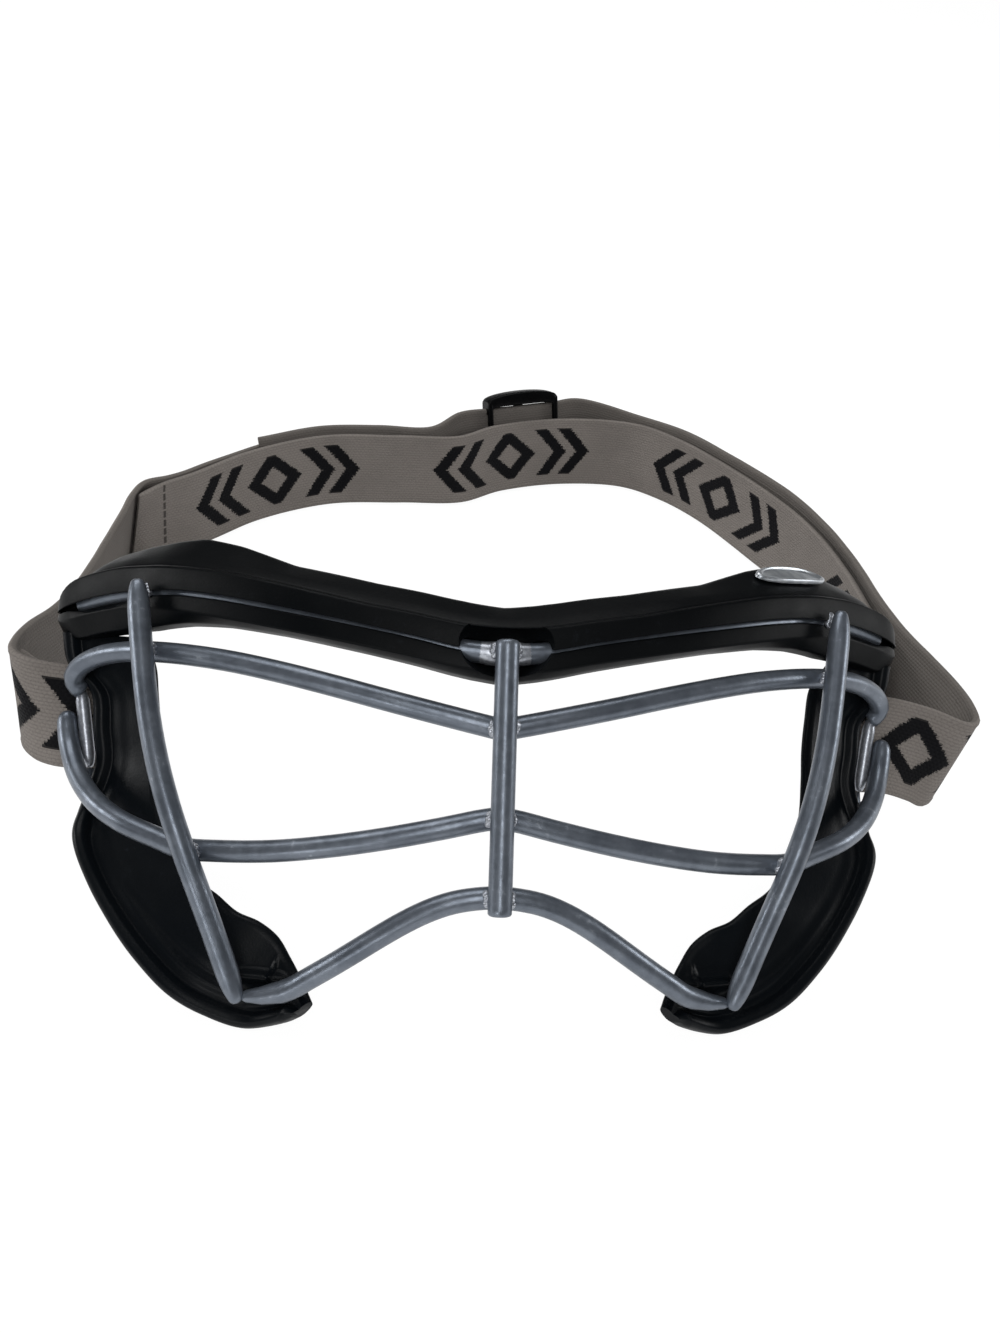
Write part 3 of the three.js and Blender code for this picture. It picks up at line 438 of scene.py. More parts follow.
wireSizes = {
    "wire": 4.0, "post": 4.2, "bar": 3.0, "tieWire": 2.7, "collarWire": 4.35, "railDepth": 4.4, "postDepth": -0.748,
    "sides": 24, "spacing": 1.3, "endSpare": 0.5,
    # middle lines as across, back and up on the leaning cage, and only the right half of those that are mirrored
    "upperRail": [(0, 0, 31.95), (3, .04, 32.5), (10, .45, 34.05), (20, 1.8, 36.4), (30, 4.05, 38.9),
                  (40, 7.2, 41.3), (50, 11.25, 43.4), (60, 16.2, 44.9), (67.3, 20.4, 45.55), (72, 23.6, 45.6),
                  (76, 26.5, 45.25), (79.6, 29.3, 44.3), (82.2, 31.6, 42.8), (83.4, 33.4, 41.0), (82.9, 34.6, 39.6),
                  (81.9, 35.2, 38.7)],
    "lowerRail": [(0, 0, 16.3), (3, .04, 15.9), (10, .4, 14.3), (20, 1.6, 12.2), (30, 3.6, 10.5), (40, 6.4, 9.3),
                  (50, 10, 8.9), (56.5, 12.8, 9.1), (61.1, 14.6, 10.6), (69.1, 18.4, 13.5), (75, 23.2, 16.8),
                  (80.1, 29.2, 21.6), (83.4, 33.9, 27.4), (84.5, 35.3, 31.5), (84.6, 35.4, 34.6)],
    "noseArch": [(0, 0, 2.6), (4, .12, 2.3), (8, .48, 1.5), (12, 1.08, 0), (16, 1.92, -2.1), (20, 3, -4.6),
                 (24, 4.3, -7.3), (28, 5.9, -10), (32, 7.7, -12.6), (36, 9.4, -15.1), (40, 10.6, -16.3),
                 (42.7, 11.1, -16.6), (44.2, 11.4, -16.7)],
    "browWire": [(0, .5, 45.4), (4, .6, 45.6), (8, .83, 46), (16, 1.8, 47.7), (24, 3.4, 49.3), (32, 5.7, 50.95),
                 (40, 8.7, 52.6), (48, 12.2, 54.3), (56, 16.5, 55.9), (64, 21.4, 57.2), (68, 24.1, 57.5),
                 (72, 26.8, 57.6), (78, 31, 57.0), (83, 34.3, 55.9), (87, 36.8, 54.8)],
    "upright": [(45, 16.25, -17.8), (47.2, 15.55, -12), (49.9, 14.65, -5), (52.6, 13.45, 2), (55.5, 12.45, 9),
                (58.5, 13.25, 16), (61.3, 14.65, 24), (63.8, 16.75, 32), (65.4, 18.65, 40), (66.6, 19.85, 46),
                (67.6, 21.05, 52), (68.2, 21.65, 56), (68.6, 22.05, 58.8)],
    "centrePost": [(0, 0, -0.2), (0, 0, 15.0), (0, 0, 31.0), (0, 0, 47.4)],
    "slotBar": [(79.9, 33.05, 45.0), (80.5, 37, 45.9), (80.8, 40.4, 45.7), (80.8, 41.1, 44.3), (80.8, 41.1, 33.8),
                (80.8, 41.1, 21.3), (80.8, 40.4, 19.9), (80.8, 37, 19.6), (80.3, 32.75, 20.3)],
    "collar": [(0, .5, 45.4), (2.6, .53, 45.48), (5.6, .68, 45.75)],
    # a short bright wire that ties the ends of the two rails, in front of the strap
    "tie": [(82.4, 35.3, 39.2), (81.6, 35.4, 35), (80.6, 35.4, 29), (79.6, 35.2, 23.4)],
    # how an end grows: the distance from its tip, then the share of the diameter
    "cutEnds": ((0.0, 0.62), (0.16, 0.87), (0.5, 1.0)),
    "railEnds": ((0.0, 0.2), (0.15, 0.45), (0.5, 0.68), (1.2, 0.87), (2.2, 1.0)),
    "archEnds": ((0.0, 0.4), (0.6, 0.55), (3.5, 0.8), (7.0, 1.0)),
    "domed": ((0.0, 0.2), (0.15, 0.42), (0.5, 0.58), (1.2, 0.7), (2.5, 0.84), (4.0, 0.94), (6.0, 1.0)),
    "bulging": ((0.0, 0.86), (0.8, 0.9), (1.8, 0.95), (2.8, 0.985), (3.8, 1.0)),
    "tapered": ((0.0, 0.25), (0.2, 0.5), (0.9, 0.75), (2.6, 1.0)),
}


# Round wire along a path
def wirePiece(name, rows, depth, diameter, nodes, endKind="cutEnds", material=wirePaint):
    at = curveThrough([cagePoint(x, w + depth, u) for x, w, u in rows])
    places = evenPlaces(at, wireSizes["spacing"])
    total, ends = places[-1][1], wireSizes[endKind]
    inside = ends[-1][0] + wireSizes["endSpare"]
    marks = list(ends) + [(far, 1.0) for _, far in places if inside < far < total - inside]
    marks += [(total - far, share) for far, share in reversed(ends)]
    turns = [k * math.tau / wireSizes["sides"] for k in range(wireSizes["sides"])]
    side, rings, j = None, [], 0
    for far, share in marks:
        while j + 2 < len(places) and places[j + 1][1] < far:
            j += 1
        part = (far - places[j][1]) / (places[j + 1][1] - places[j][1])
        place = places[j][0] + (places[j + 1][0] - places[j][0]) * part
        centre, way = at(place), wayAt(at, place)
        if side is None:
            side = Vector((0, 0, 1)).cross(way)
        side = (side - way * side.dot(way)).normalized()
        up = way.cross(side)
        radius = diameter / 2 * share
        rings.append([centre + (side * math.cos(t) + up * math.sin(t)) * radius for t in turns])
    piece = skin(name, rings)
    crease(piece, degrees=50)
    return settle(piece, "cage", material, nodes)


depth, wire = wireSizes["railDepth"], wireSizes["wire"]
wirePiece("upper_rail_wire", mirrorRows(wireSizes["upperRail"]), depth, wire, ("upper_rail",))
wirePiece("lower_rail_wire", mirrorRows(wireSizes["lowerRail"]), depth, wire, ("lower_rail",), "railEnds")
wirePiece("nose_arch_wire", mirrorRows(wireSizes["noseArch"]), depth, wire, ("nose_arch",), "archEnds")
wirePiece("brow_wire_rod", mirrorRows(wireSizes["browWire"][:-1]), depth, wire, ("brow_wire",))
wirePiece("brow_weld_collar", mirrorRows(wireSizes["collar"]), depth, wireSizes["collarWire"], (),
          "bulging", weldMetal)
wirePiece("centre_post_rod", wireSizes["centrePost"], 0, wireSizes["post"], ("centre_upright",))
for sideName, sign in (("right", 1), ("left", -1)):
    post, bar, tie = ([(x * sign, w, u) for x, w, u in wireSizes[key]] for key in ("upright", "slotBar", "tie"))
    upright, slotBar = sideName + "_upright", sideName + "_slot_bar"
    wirePiece(sideName + "_post_rod", eased(post), wireSizes["postDepth"], wireSizes["post"], (upright,), "domed")
    wirePiece(sideName + "_staple_wire", bar, depth, wireSizes["bar"], (slotBar,))
    wirePiece(sideName + "_tie_wire", tie, depth, wireSizes["tieWire"], (), "tapered", weldMetal)
print("wires ready")


# Weld beads: small lumps of bright metal in the corners where two wires meet
weldSizes = {
    "bead": 0.85, "beadShares": (0.75, 1.05), "count": 3, "spread": 0.75, "sway": 0.15, "seed": 7,
    "reach": 2.1, "slimReach": 1.5, "reachSway": (-0.2, 0.1),  # from the crossing; slim by the tapered posts' tops
    "lump": 0.3, "lumpScale": 1.1, "lumpSteps": (9.1, 5.3, 3.7),
}


# Where two wires cross as seen from the front, tried in twelfths of the way between their points
def nearestCrossing(rowsA, depthA, rowsB, depthB, steps=12):
    a = curveThrough([cagePoint(x, w + depthA, u) for x, w, u in rowsA])
    b = curveThrough([cagePoint(x, w + depthB, u) for x, w, u in rowsB])
    best = None
    for i in range(a.end * steps + 1):
        for j in range(b.end * steps + 1):
            pa, pb = a(i / steps), b(j / steps)
            flat = math.hypot(pa.x - pb.x, ((pa.y + pa.z) - (pb.y + pb.z)) * leanShare)
            if best is None or flat < best[0]:
                best = (flat, i / steps, j / steps)
    return a(best[1]), wayAt(a, best[1]), b(best[2]), wayAt(b, best[2])


def weldBeads():
    random.seed(weldSizes["seed"])
    bm = bmesh.new()
    posts = [(wireSizes["centrePost"], 0)]
    posts += [([(x * sign, w, u) for x, w, u in wireSizes["upright"]], wireSizes["postDepth"]) for sign in (1, -1)]
    count, sway = weldSizes["count"], weldSizes["sway"]
    postStep, railStep, beadStep = weldSizes["lumpSteps"]
    for p, (postRows, postDepth) in enumerate(posts):
        for r, rail in enumerate(("upperRail", "lowerRail", "noseArch", "browWire")):
            if p > 0 and rail == "noseArch":
                continue  # the arch's ends lie behind the side posts, with no bead to see
            railRows = mirrorRows(wireSizes[rail])
            onPost, postWay, onRail, railWay = nearestCrossing(postRows, postDepth, railRows, depth)
            middle = (onPost + onRail) / 2
            reach = weldSizes["slimReach"] if p > 0 and rail == "browWire" else weldSizes["reach"]
            for side in (-1, 1):
                for k in range(count):
                    along = weldSizes["spread"] * (k - (count - 1) / 2) + random.uniform(-sway, sway)
                    out = reach + random.uniform(*weldSizes["reachSway"])
                    spot = middle + railWay * side * out + postWay * along
                    size = weldSizes["bead"] * random.uniform(*weldSizes["beadShares"])
                    shift = Vector((p * postStep, r * railStep, k * beadStep + side))
                    for v in bmesh.ops.create_icosphere(bm, subdivisions=3, radius=size)["verts"]:
                        bump = 1 + weldSizes["lump"] * noise.noise(v.co * weldSizes["lumpScale"] + shift)
                        v.co = inFrame(spot + v.co * bump)
    return settle(toObject("weld_beads", bm), "cage", weldMetal)


weldBeads()
print("welds ready")


# Brow rim: a moulded rubber channel along the brow wire, with a padded flange above and behind it
browSizes = {
    "seat": 2.3, "wall": 1.3, "gap": 0.3, "lowerFoot": -3.5, "lipDrop": 0.45, "lipThick": 0.4, "lap": 0.1,
    "spacing": 1.1, "pathSteps": 20,
    "padThickness": 4.2, "flangeReach": 4.6,
    "channelEnd": 88.6, "channelRound": 7.5, "channelHeart": (1.0, 0.2), "channelSoft": 0.45,
    "padEnd": 86.8, "padRound": 10.0, "padHeart": (6.2, 1.5), "padSoft": 0.9, "endCuts": 9, "endTip": 0.06,
    "notch": (8.6, 6.2, 5.5, 6.6), "notchFoot": 47.1, "notchFront": 0.9,  # half width, half depth, height and drop
    # the groove's height at the centre, what it gains further out and near the ends, and where each change starts
    # and over what length it happens
    "groove": (0.32, 0.4, 1.7), "grooveGrows": (20, 25), "grooveOpens": (66, 7), "grooveCloses": (78, 6),
    # across, then the crease, lip, bottom and flange heights over the wire
    "edges": [(0, 4.3, 0.408, -5.525, 9.01), (7.99, 4.2, 0.408, -4.93, 9.435), (23.97, 4.0, 0.68, -4.59, 9.044),
              (39.95, 4.7, 0.935, -4.505, 9.265), (51, 5.015, 0.935, -4.93, 11.135),
              (58.65, 4.845, 0.765, -5.78, 11.73), (66.3, 4.59, 0, -7.31, 10.455), (73.1, 4.59, -0.17, -7.82, 9.52),
              (88.4, 4.59, 0, -7.14, 8.5)],
}
browPath = curveThrough([Vector(p) for p in mirrorRows(wireSizes["browWire"])])
browLine = [browPath(i / browSizes["pathSteps"]) for i in range(browPath.end * browSizes["pathSteps"] + 1)]
channelFront = -browSizes["seat"] - browSizes["wall"]
channelBack = -channelFront
padFront = channelBack + browSizes["gap"]
padBack = padFront + browSizes["padThickness"]


def browPoint(across, back, up):
    i = 0
    while i + 2 < len(browLine) and browLine[i + 1].x < across:
        i += 1
    start, stop = browLine[i], browLine[i + 1]
    centre = start.lerp(stop, (across - start.x) / (stop.x - start.x))
    way = Vector((stop.x - start.x, stop.y - start.y)).normalized()
    return cagePoint(centre.x - way.y * back, centre.y + way.x * back + depth, centre.z + up)


def browEdges(across):
    side, rows = abs(across), browSizes["edges"]
    i = 0
    while i + 2 < len(rows) and rows[i + 1][0] < side:
        i += 1
    part = clamped((side - rows[i][0]) / (rows[i + 1][0] - rows[i][0]))
    return [a + (b - a) * part for a, b in zip(rows[i][1:], rows[i + 1][1:])]


# Closed outline with round corners, none longer than the given share of an edge
def roundedOutline(points, radius, parts=4, most=0.42):
    out = []
    for k, corner in enumerate(points):
        corner = Vector(corner)
        ways = (Vector(points[k - 1]) - corner, Vector(points[(k + 1) % len(points)]) - corner)
        a, b = (corner + way.normalized() * min(radius, way.length * most) for way in ways)
        for n in range(parts):
            t = n / (parts - 1)
            out.append(a * (1 - t) ** 2 + corner * 2 * t * (1 - t) + b * t ** 2)
    return out


def channelOutline(across):
    creaseUp, lip, bottom = browEdges(across)[:3]
    seat, wall, gap = browSizes["seat"], browSizes["wall"], browSizes["gap"]
    wide = seat / math.cos(math.pi / 8)
    slant = 0.71 * wide
    lipUp = lip - browSizes["lipDrop"]
    grown, opened, closed = (clamped((abs(across) - browSizes[key][0]) / browSizes[key][1])
                             for key in ("grooveGrows", "grooveOpens", "grooveCloses"))
    atCentre, further, nearEnd = browSizes["groove"]
    lowerUp = lipUp - atCentre - further * grown - nearEnd * opened * (1 - closed)
    ring = [(-wide, lipUp + browSizes["lipThick"]), (-slant, slant), (0, wide), (slant, slant), (wide, 0),
            (slant, -slant), (0, -wide), (-slant, -slant), (-wide, lowerUp)]
    return [(channelFront, lipUp), (channelFront + gap, creaseUp), (channelFront + wall * 1.5, creaseUp + gap * 2),
            (channelBack - gap, creaseUp + gap * 2), (channelBack, creaseUp), (channelBack, bottom + wall),
            (channelBack - wall, bottom), (-gap * 3, bottom + gap), (channelFront + gap, browSizes["lowerFoot"]),
            (channelFront + gap * 2, lowerUp)] + ring[::-1]


def padOutline(across):
    creaseUp, _, bottom, flange = browEdges(across)
    wall, lap, reach = browSizes["wall"], browSizes["lap"], browSizes["flangeReach"]
    shelf = creaseUp + browSizes["gap"] * 2 + lap
    return [(padFront, bottom + wall), (padFront, shelf), (channelFront + wall * 1.5, creaseUp),
            (channelFront + wall * 0.8, creaseUp + lap), (channelFront + wall * 2.2, shelf + wall),
            (reach - wall, flange), (reach, flange), (padBack - wall, flange - wall), (padBack, creaseUp),
            (padBack, bottom + wall * 2), (padBack - wall, bottom + wall)]


# Sections along the brow, drawn in to their heart at a rounded end
def browSkin(name, outlineAt, end, endRound, heart, radius):
    heart, cutCount = Vector(heart), browSizes["endCuts"]
    count = round((end - endRound) * 2 / browSizes["spacing"])
    turns = [k / cutCount * math.pi / 2 for k in range(cutCount)]
    cuts = [(-end + endRound * (1 - math.cos(t)), math.sin(t)) for t in turns]
    cuts += [((end - endRound) * (2 * i / count - 1), 1.0) for i in range(count + 1)]
    cuts += [(-across, share) for across, share in reversed(cuts[:cutCount])]
    rows = []
    for across, share in cuts:
        outline = roundedOutline(outlineAt(across), radius)
        rows.append([browPoint(across, *(heart + (p - heart) * max(share, browSizes["endTip"]))) for p in outline])
    return skin(name, rows)


# A bowl is cut round the top of the centre post, so the brow wire shows on both sides of it
def notched(piece):
    across, back, up, low = browSizes["notch"]
    bm = bmesh.new()
    bmesh.ops.create_icosphere(bm, subdivisions=5, radius=1.0)
    for v in bm.verts:
        rise = v.co.z * (up if v.co.z > 0 else low)
        w, u = browSizes["notchFront"] + v.co.y * back, browSizes["notchFoot"] + rise
        v.co = inFrame(cagePoint(v.co.x * across, w, u))
    bmesh.ops.recalc_face_normals(bm, faces=bm.faces)
    tool = toObject("notch_tool", bm)
    cut = piece.modifiers.new("notch", "BOOLEAN")
    cut.operation, cut.solver, cut.object = "DIFFERENCE", "EXACT", tool
    applied(piece)
    bpy.data.objects.remove(tool)
    return piece


channel = notched(browSkin("brow_rim", channelOutline, browSizes["channelEnd"], browSizes["channelRound"],
                           browSizes["channelHeart"], browSizes["channelSoft"]))
crease(channel, degrees=40)
settle(channel, "cage", rubber, ("brow_channel",))
pad = browSkin("brow_pad", padOutline, browSizes["padEnd"], browSizes["padRound"],
               browSizes["padHeart"], browSizes["padSoft"])
crease(pad, degrees=45)
settle(pad, "cage", rubber, ("forehead_pad",))
print("brow ready")


# Badge: a thin bare oval plate with a raised rim, on the sloping flange
badgeSizes = {
    "centre": 59.8, "length": 17.6, "height": 5.0, "blunt": 0.8, "round": 56,
    "along": 0.52, "lift": 0.35, "sink": 0.15,  # where it sits on the slope, and how far it stands over it
    # each ring's share of the oval and its height
    "rings": ((1.0, 0.0), (1.0, 0.55), (0.97, 0.78), (0.92, 0.86), (0.87, 0.8),
              (0.84, 0.62), (0.8, 0.5), (0.5, 0.56), (0.2, 0.58)),
}


def badgePoint(across, height, out):
    part = across / badgeSizes["length"] + 0.5
    first, last = (browEdges(badgeSizes["centre"] + badgeSizes["length"] * k) for k in (-0.5, 0.5))
    creaseUp, _, _, flange = [a + (b - a) * part + badgeSizes["lift"] for a, b in zip(first, last)]
    low = Vector((channelFront + browSizes["wall"] * 2.2, creaseUp + browSizes["gap"] * 3 + browSizes["wall"]))
    high = Vector((browSizes["flangeReach"] - browSizes["wall"], flange))
    way = (high - low).normalized()
    spot = low.lerp(high, badgeSizes["along"]) + way * height
    spot += Vector((-way.y, way.x)) * (browSizes["gap"] + out - badgeSizes["sink"])
    return browPoint(badgeSizes["centre"] + across, spot.x, spot.y)


badgeRows = []
for share, out in badgeSizes["rings"]:
    ring = []
    for k in range(badgeSizes["round"]):
        turn = k * math.tau / badgeSizes["round"]
        across = math.copysign(abs(math.cos(turn)) ** badgeSizes["blunt"], math.cos(turn)) * share
        height = math.sin(turn) * share
        ring.append(badgePoint(across * badgeSizes["length"] / 2, height * badgeSizes["height"] / 2, out))
    badgeRows.append(ring)
badge = skin("oval_badge", badgeRows)
crease(badge, degrees=50)
settle(badge, "cage", silver, ("badge",))
print("badge ready")


# Cheek wings: curved rubber plates with a raised double rim, cut flat where they stand
wingSizes = {
    "thickness": 2.2, "rimRise": 2.6, "rimWidth": 3.4, "rimTilt": 0.3, "rows": 190, "across": 30, "placeStep": 7.0,
    # a low ridge and a shallower groove beside the rim: how far from it, half width and share of the relief
    "ridge": (2.2, 0.9, 1.0), "groove": (4.2, 1.1, -0.8), "relief": 0.55, "upperShare": 0.12, "fade": (7.0, 2.5),
    "fullWidth": 12, "cornerRound": 0.4,
    # start and end of each fold as place along and share across, then its height and half width
    "folds": [((10.9, 0.5), (12.75, 0.12), 2.0, 1.1), ((11.5, 0.05), (11.9, 0.34), 1.0, 0.5),
              ((11.7, 0.76), (12.7, 0.6), 1.4, 0.8), ((11.2, 0.66), (12.8, 0.36), -1.3, 0.9)],
    "inner": [(71.5, 36.4, 49.6), (67.6, 35.1, 44.6), (66.4, 34.8, 37.8), (65.6, 34.3, 31.6), (65.2, 33.5, 25),
              (64, 32, 17), (60.5, 29.5, 9), (56.5, 27, 3.5), (51.3, 24.6, .2), (47.4, 23.6, -2.8),
              (42.9, 22.5, -4.6), (39.3, 21.8, -7.2), (36.7, 20.7, -10.8), (34.2, 18.5, -14.6),
              (32.2, 15.5, -17.8)],
    "outer": [(86, 41.3, 50.5), (84.6, 41.3, 44.6), (79.4, 41.1, 38.8), (78.2, 40.7, 31), (77.2, 40.3, 24),
              (79.5, 37.8, 14), (79.8, 34.6, 9.5), (75.5, 31.2, 1), (70.3, 28.2, -5.9), (64.5, 25.4, -12.3),
              (58, 23.2, -17.8), (51, 22.1, -21.2), (43.5, 20.9, -23.1), (36.8, 18, -21.6), (34.6, 16.6, -20.4)],
}


def foldHeight(place, share, length):
    total, spot = 0.0, Vector((place * wingSizes["placeStep"], share * length))
    for start, stop, height, half in wingSizes["folds"]:
        a, b = (Vector((p[0] * wingSizes["placeStep"], p[1] * length)) for p in (start, stop))
        part = clamped((spot - a).dot(b - a) / (b - a).length_squared)
        total += height * math.exp(-((spot - a.lerp(b, part)).length / half) ** 2)
    return total


def wing(sideName, sign):
    inner, outer = (curveThrough([cagePoint(x * sign, w, u) for x, w, u in wingSizes[key]])
                    for key in ("inner", "outer"))
    half, across = wingSizes["thickness"] / 2, wingSizes["across"]
    frontWay = cagePoint(0, -1, 0) - cagePoint(0, 0, 0)
    rows = []
    for i in range(wingSizes["rows"] + 1):
        place = inner.end * i / wingSizes["rows"]
        start, stop = inner(place), outer(place)
        run = (wayAt(inner, place) + wayAt(outer, place)).normalized()
        reach = stop - start
        length = reach.length
        reach.normalize()
        front = run.cross(reach).normalized()
        if front.dot(frontWay) < 0:
            front.negate()
        rim, tilt = min(wingSizes["rimWidth"], length * 0.5), wingSizes["rimTilt"]
        rise = wingSizes["rimRise"] * min(length / (wingSizes["rimWidth"] * 2), 1)
        low = clamped((place - wingSizes["fade"][0]) / wingSizes["fade"][1])
        relief = wingSizes["relief"] * (wingSizes["upperShare"] + (1 - wingSizes["upperShare"]) * low)
        relief *= min(length / wingSizes["fullWidth"], 1)
        outline = [(0, -half * 0.7), (-half * 0.5, 0), (0, half * 0.7), (half, half)]
        for n in range(1, across):
            s = half + (length - rim - half) * n / across
            height = foldHeight(place, s / length, length) * math.sin(math.pi * n / across)
            for away, halfWidth, share in (wingSizes["ridge"], wingSizes["groove"]):
                height += relief * share * math.exp(-((length - rim - s - away) / halfWidth) ** 2)
            outline.append((s, half + height))
        outline += [(length - rim, half), (length - rim * 0.7, rise), (length - rim * 0.3, rise + tilt),
                    (length, rise - tilt), (length + tilt, half), (length, -half * 0.6), (length - half, -half),
                    (half, -half)]
        outline = roundedOutline(outline, wingSizes["cornerRound"], parts=3)
        rows.append([start + reach * p.x + front * p.y for p in outline])
    piece = skin(sideName + "_cheek_rubber", rows)
    bm = bmesh.new()
    bm.from_mesh(piece.data)
    everything = bm.verts[:] + bm.edges[:] + bm.faces[:]
    bmesh.ops.bisect_plane(bm, geom=everything, plane_co=(0, 0, 0), plane_no=(0, 0, -1), clear_outer=True)
    bmesh.ops.holes_fill(bm, edges=[e for e in bm.edges if len(e.link_faces) == 1], sides=0)
    bm.to_mesh(piece.data)
    bm.free()
    crease(piece, degrees=50)
    return settle(piece, "cage", wingRubber, (sideName + "_cheek_wing",))


wing("right", 1)
wing("left", -1)
print("wings ready")


# Strap: flat woven elastic, each station a place on the table and the way its width points
strapSizes = {
    "width": 21.0, "thickness": 1.5, "edge": 1.75, "layer": 2.31, "tailRise": 2.5, "loopRise": 0.4, "spacing": 1.2,
    # the woven edge as distance inwards and share of its thickness, then where the flat starts
    "selvedge": ((0, 0), (0.12, 0.55), (0.45, 0.95), (1.0, 1.0)), "shoulder": (1.7, 0.97),
    "flat": 3.4, "flatSteps": 9,
    "endThin": (0.55, 0.85, 1.0), "ripple": 0.1, "ripplePerMm": 0.12, "rippleAcross": 0.3, "rippleSeed": 3.1,
    "foldRadius": 2.55, "foldSteps": 5, "barAcross": 80.8, "barBack": 45.5, "barUp": 33.8,
    # where the slider holds the tail: places on the band, then the step out from it and the level
    "track": (8.3, 6.5), "trackParts": 4, "trackStep": 8.6, "trackReach": 2.2, "trackLift": 1.2,
    "band": [(-92.1, 148.2, 10.62, .2, 0, .98), (-85.5, 153.8, 10.52, .05, .12, .98),
             (-77.6, 159.4, 10.42, -.08, .2, .98), (-63.2, 173.9, 10.42, -.12, .2, .97),
             (-42.9, 185.9, 10.22, -.11, .3, .95), (-20.6, 188.5, 10.37, -.02, .26, .966),
             (-2.5, 190.4, 10.37, -.08, .245, .966), (9.8, 199.0, 10.27, -.13, .28, .95),
             (30.7, 206.3, 10.12, -.07, .335, .94), (52.7, 206.0, 10.22, .13, .28, .95),
             (65.2, 197.2, 10.52, .14, .15, .98), (75.5, 184.8, 10.62, .13, .08, .98),
             (88.3, 163.6, 10.52, .22, .08, .97), (95.6, 147, 10.62, .13, .03, .99),
             (99.6, 129, 10.72, .05, .04, 1), (100.3, 109, 11.42, .05, .12, .99), (98.6, 93, 13.02, .08, .24, .97),
             (93.2, 79, 15.52, .08, .4, .91), (86.2, 68, 17.92, .04, .57, .82), (80.3, 61.3, 19.32, .01, .66, .75)],
    "returnSide": [(87, 54.2, 24.4, .04, .69, .72), (95, 53.7, 22.5, .2, .6, .77),
                   (101.2, 53.2, 20.3, .42, .48, .77), (104.4, 55.8, 19.6, .45, .44, .78),
                   (105.3, 61, 19.6, .4, .41, .82), (105, 68, 19.3, .34, .38, .86), (104, 79, 17.9, .25, .33, .91),
                   (103.3, 94, 15.3, .15, .24, .96), (103.1, 110, 13.5, .08, .14, .985),
                   (102.4, 130, 12.6, .06, .06, 1), (98.2, 149, 12.5, .13, .04, .99),
                   (91.4, 165.7, 12.5, .2, .07, .97)],
    "loopSide": [(-87, 54.3, 24.6, -.02, .67, .74), (-92.8, 56, 24.6, -.05, .52, .85),
                 (-96.5, 59.6, 24.4, -.08, .4, .91), (-97.6, 65.5, 23.3, -.08, .36, .93),
                 (-97, 72.5, 21.7, -.08, .33, .94), (-95.4, 84, 17.8, -.08, .25, .96),
                 (-94.6, 97, 14.2, -.06, .18, .98), (-94.2, 109, 12, -.05, .12, .99), (-93.9, 123, 10.9, 0, .05, 1),
                 (-94, 133, 10.8, .1, .02, .99), (-94.1, 141, 10.7, .17, 0, .98), (-93.8, 148.5, 10.7, .19, 0, .98),
                 (-91.2, 154.6, 10.7, .12, .06, .98)],
    # the loop's end lies flat on its inner side, where it is sewn
    "loopStart": [(-95.3, 60.74, 23.29, -.08, .4, .91), (-92.1, 57.28, 23.22, -.05, .52, .85),
                  (-87.6, 56.07, 23.15, -.02, .67, .74), (-84, 57.21, 21.74, 0, .7, .71)],
    "returnBack": (11, 10, 9), "tailBack": (5.5, 4.7, 4, 3.2), "loopBack": (1.3, 1.8, 2.4, 3.19),
    # in metres on the Y axis, meant as the places where the webbing goes from riding the cage to riding the strap;
    # nothing in this script reads them
    "blend": (-0.0420, -0.0240),
}


def stations(rows):
    return [(Vector(r[:3]), Vector(r[3:]).normalized()) for r in rows]


def runThrough(places):
    centres = curveThrough([centre for centre, wide in places])
    ways = curveThrough([wide for centre, wide in places], 0)

    def at(place):
        wide = ways(place).normalized()
        return centres(place), wide, wide.cross(wayAt(centres, place)).normalized()

    at.centres = centres
    return at


def shifted(run, place, step, rise):
    centre, wide, out = run(place)
    return centre + out * step + wide * rise, wide


cageUp = cagePoint(0, 0, 1) - cagePoint(0, 0, 0)


# A quarter turn of webbing round a side bar
def foldStations(sign):
    places = []
    for i in range(strapSizes["foldSteps"] + 1):
        turn = i / strapSizes["foldSteps"] * math.pi / 2
        x = strapSizes["barAcross"] - math.cos(turn) * strapSizes["foldRadius"]
        w = strapSizes["barBack"] - math.sin(turn) * strapSizes["foldRadius"]
        places.append((cagePoint(x * sign, w, strapSizes["barUp"]), cageUp))
    return places


# Section of the webbing: flat with a slightly thicker woven edge and round corners
def webbingSection():
    half, thick, edge = strapSizes["width"] / 2, strapSizes["thickness"] / 2, strapSizes["edge"] / 2
    inwards, share = strapSizes["shoulder"]
    flatHalf, steps = half - strapSizes["flat"], strapSizes["flatSteps"]
    side = [(half - d, edge * s) for d, s in strapSizes["selvedge"]] + [(half - inwards, thick * share)]
    flat = [(flatHalf * (1 - 2 * k / steps), thick) for k in range(steps + 1)]
    front = side + flat + [(-v, t) for v, t in reversed(side)]
    return front + [(v, -t) for v, t in reversed(front[1:-1])]


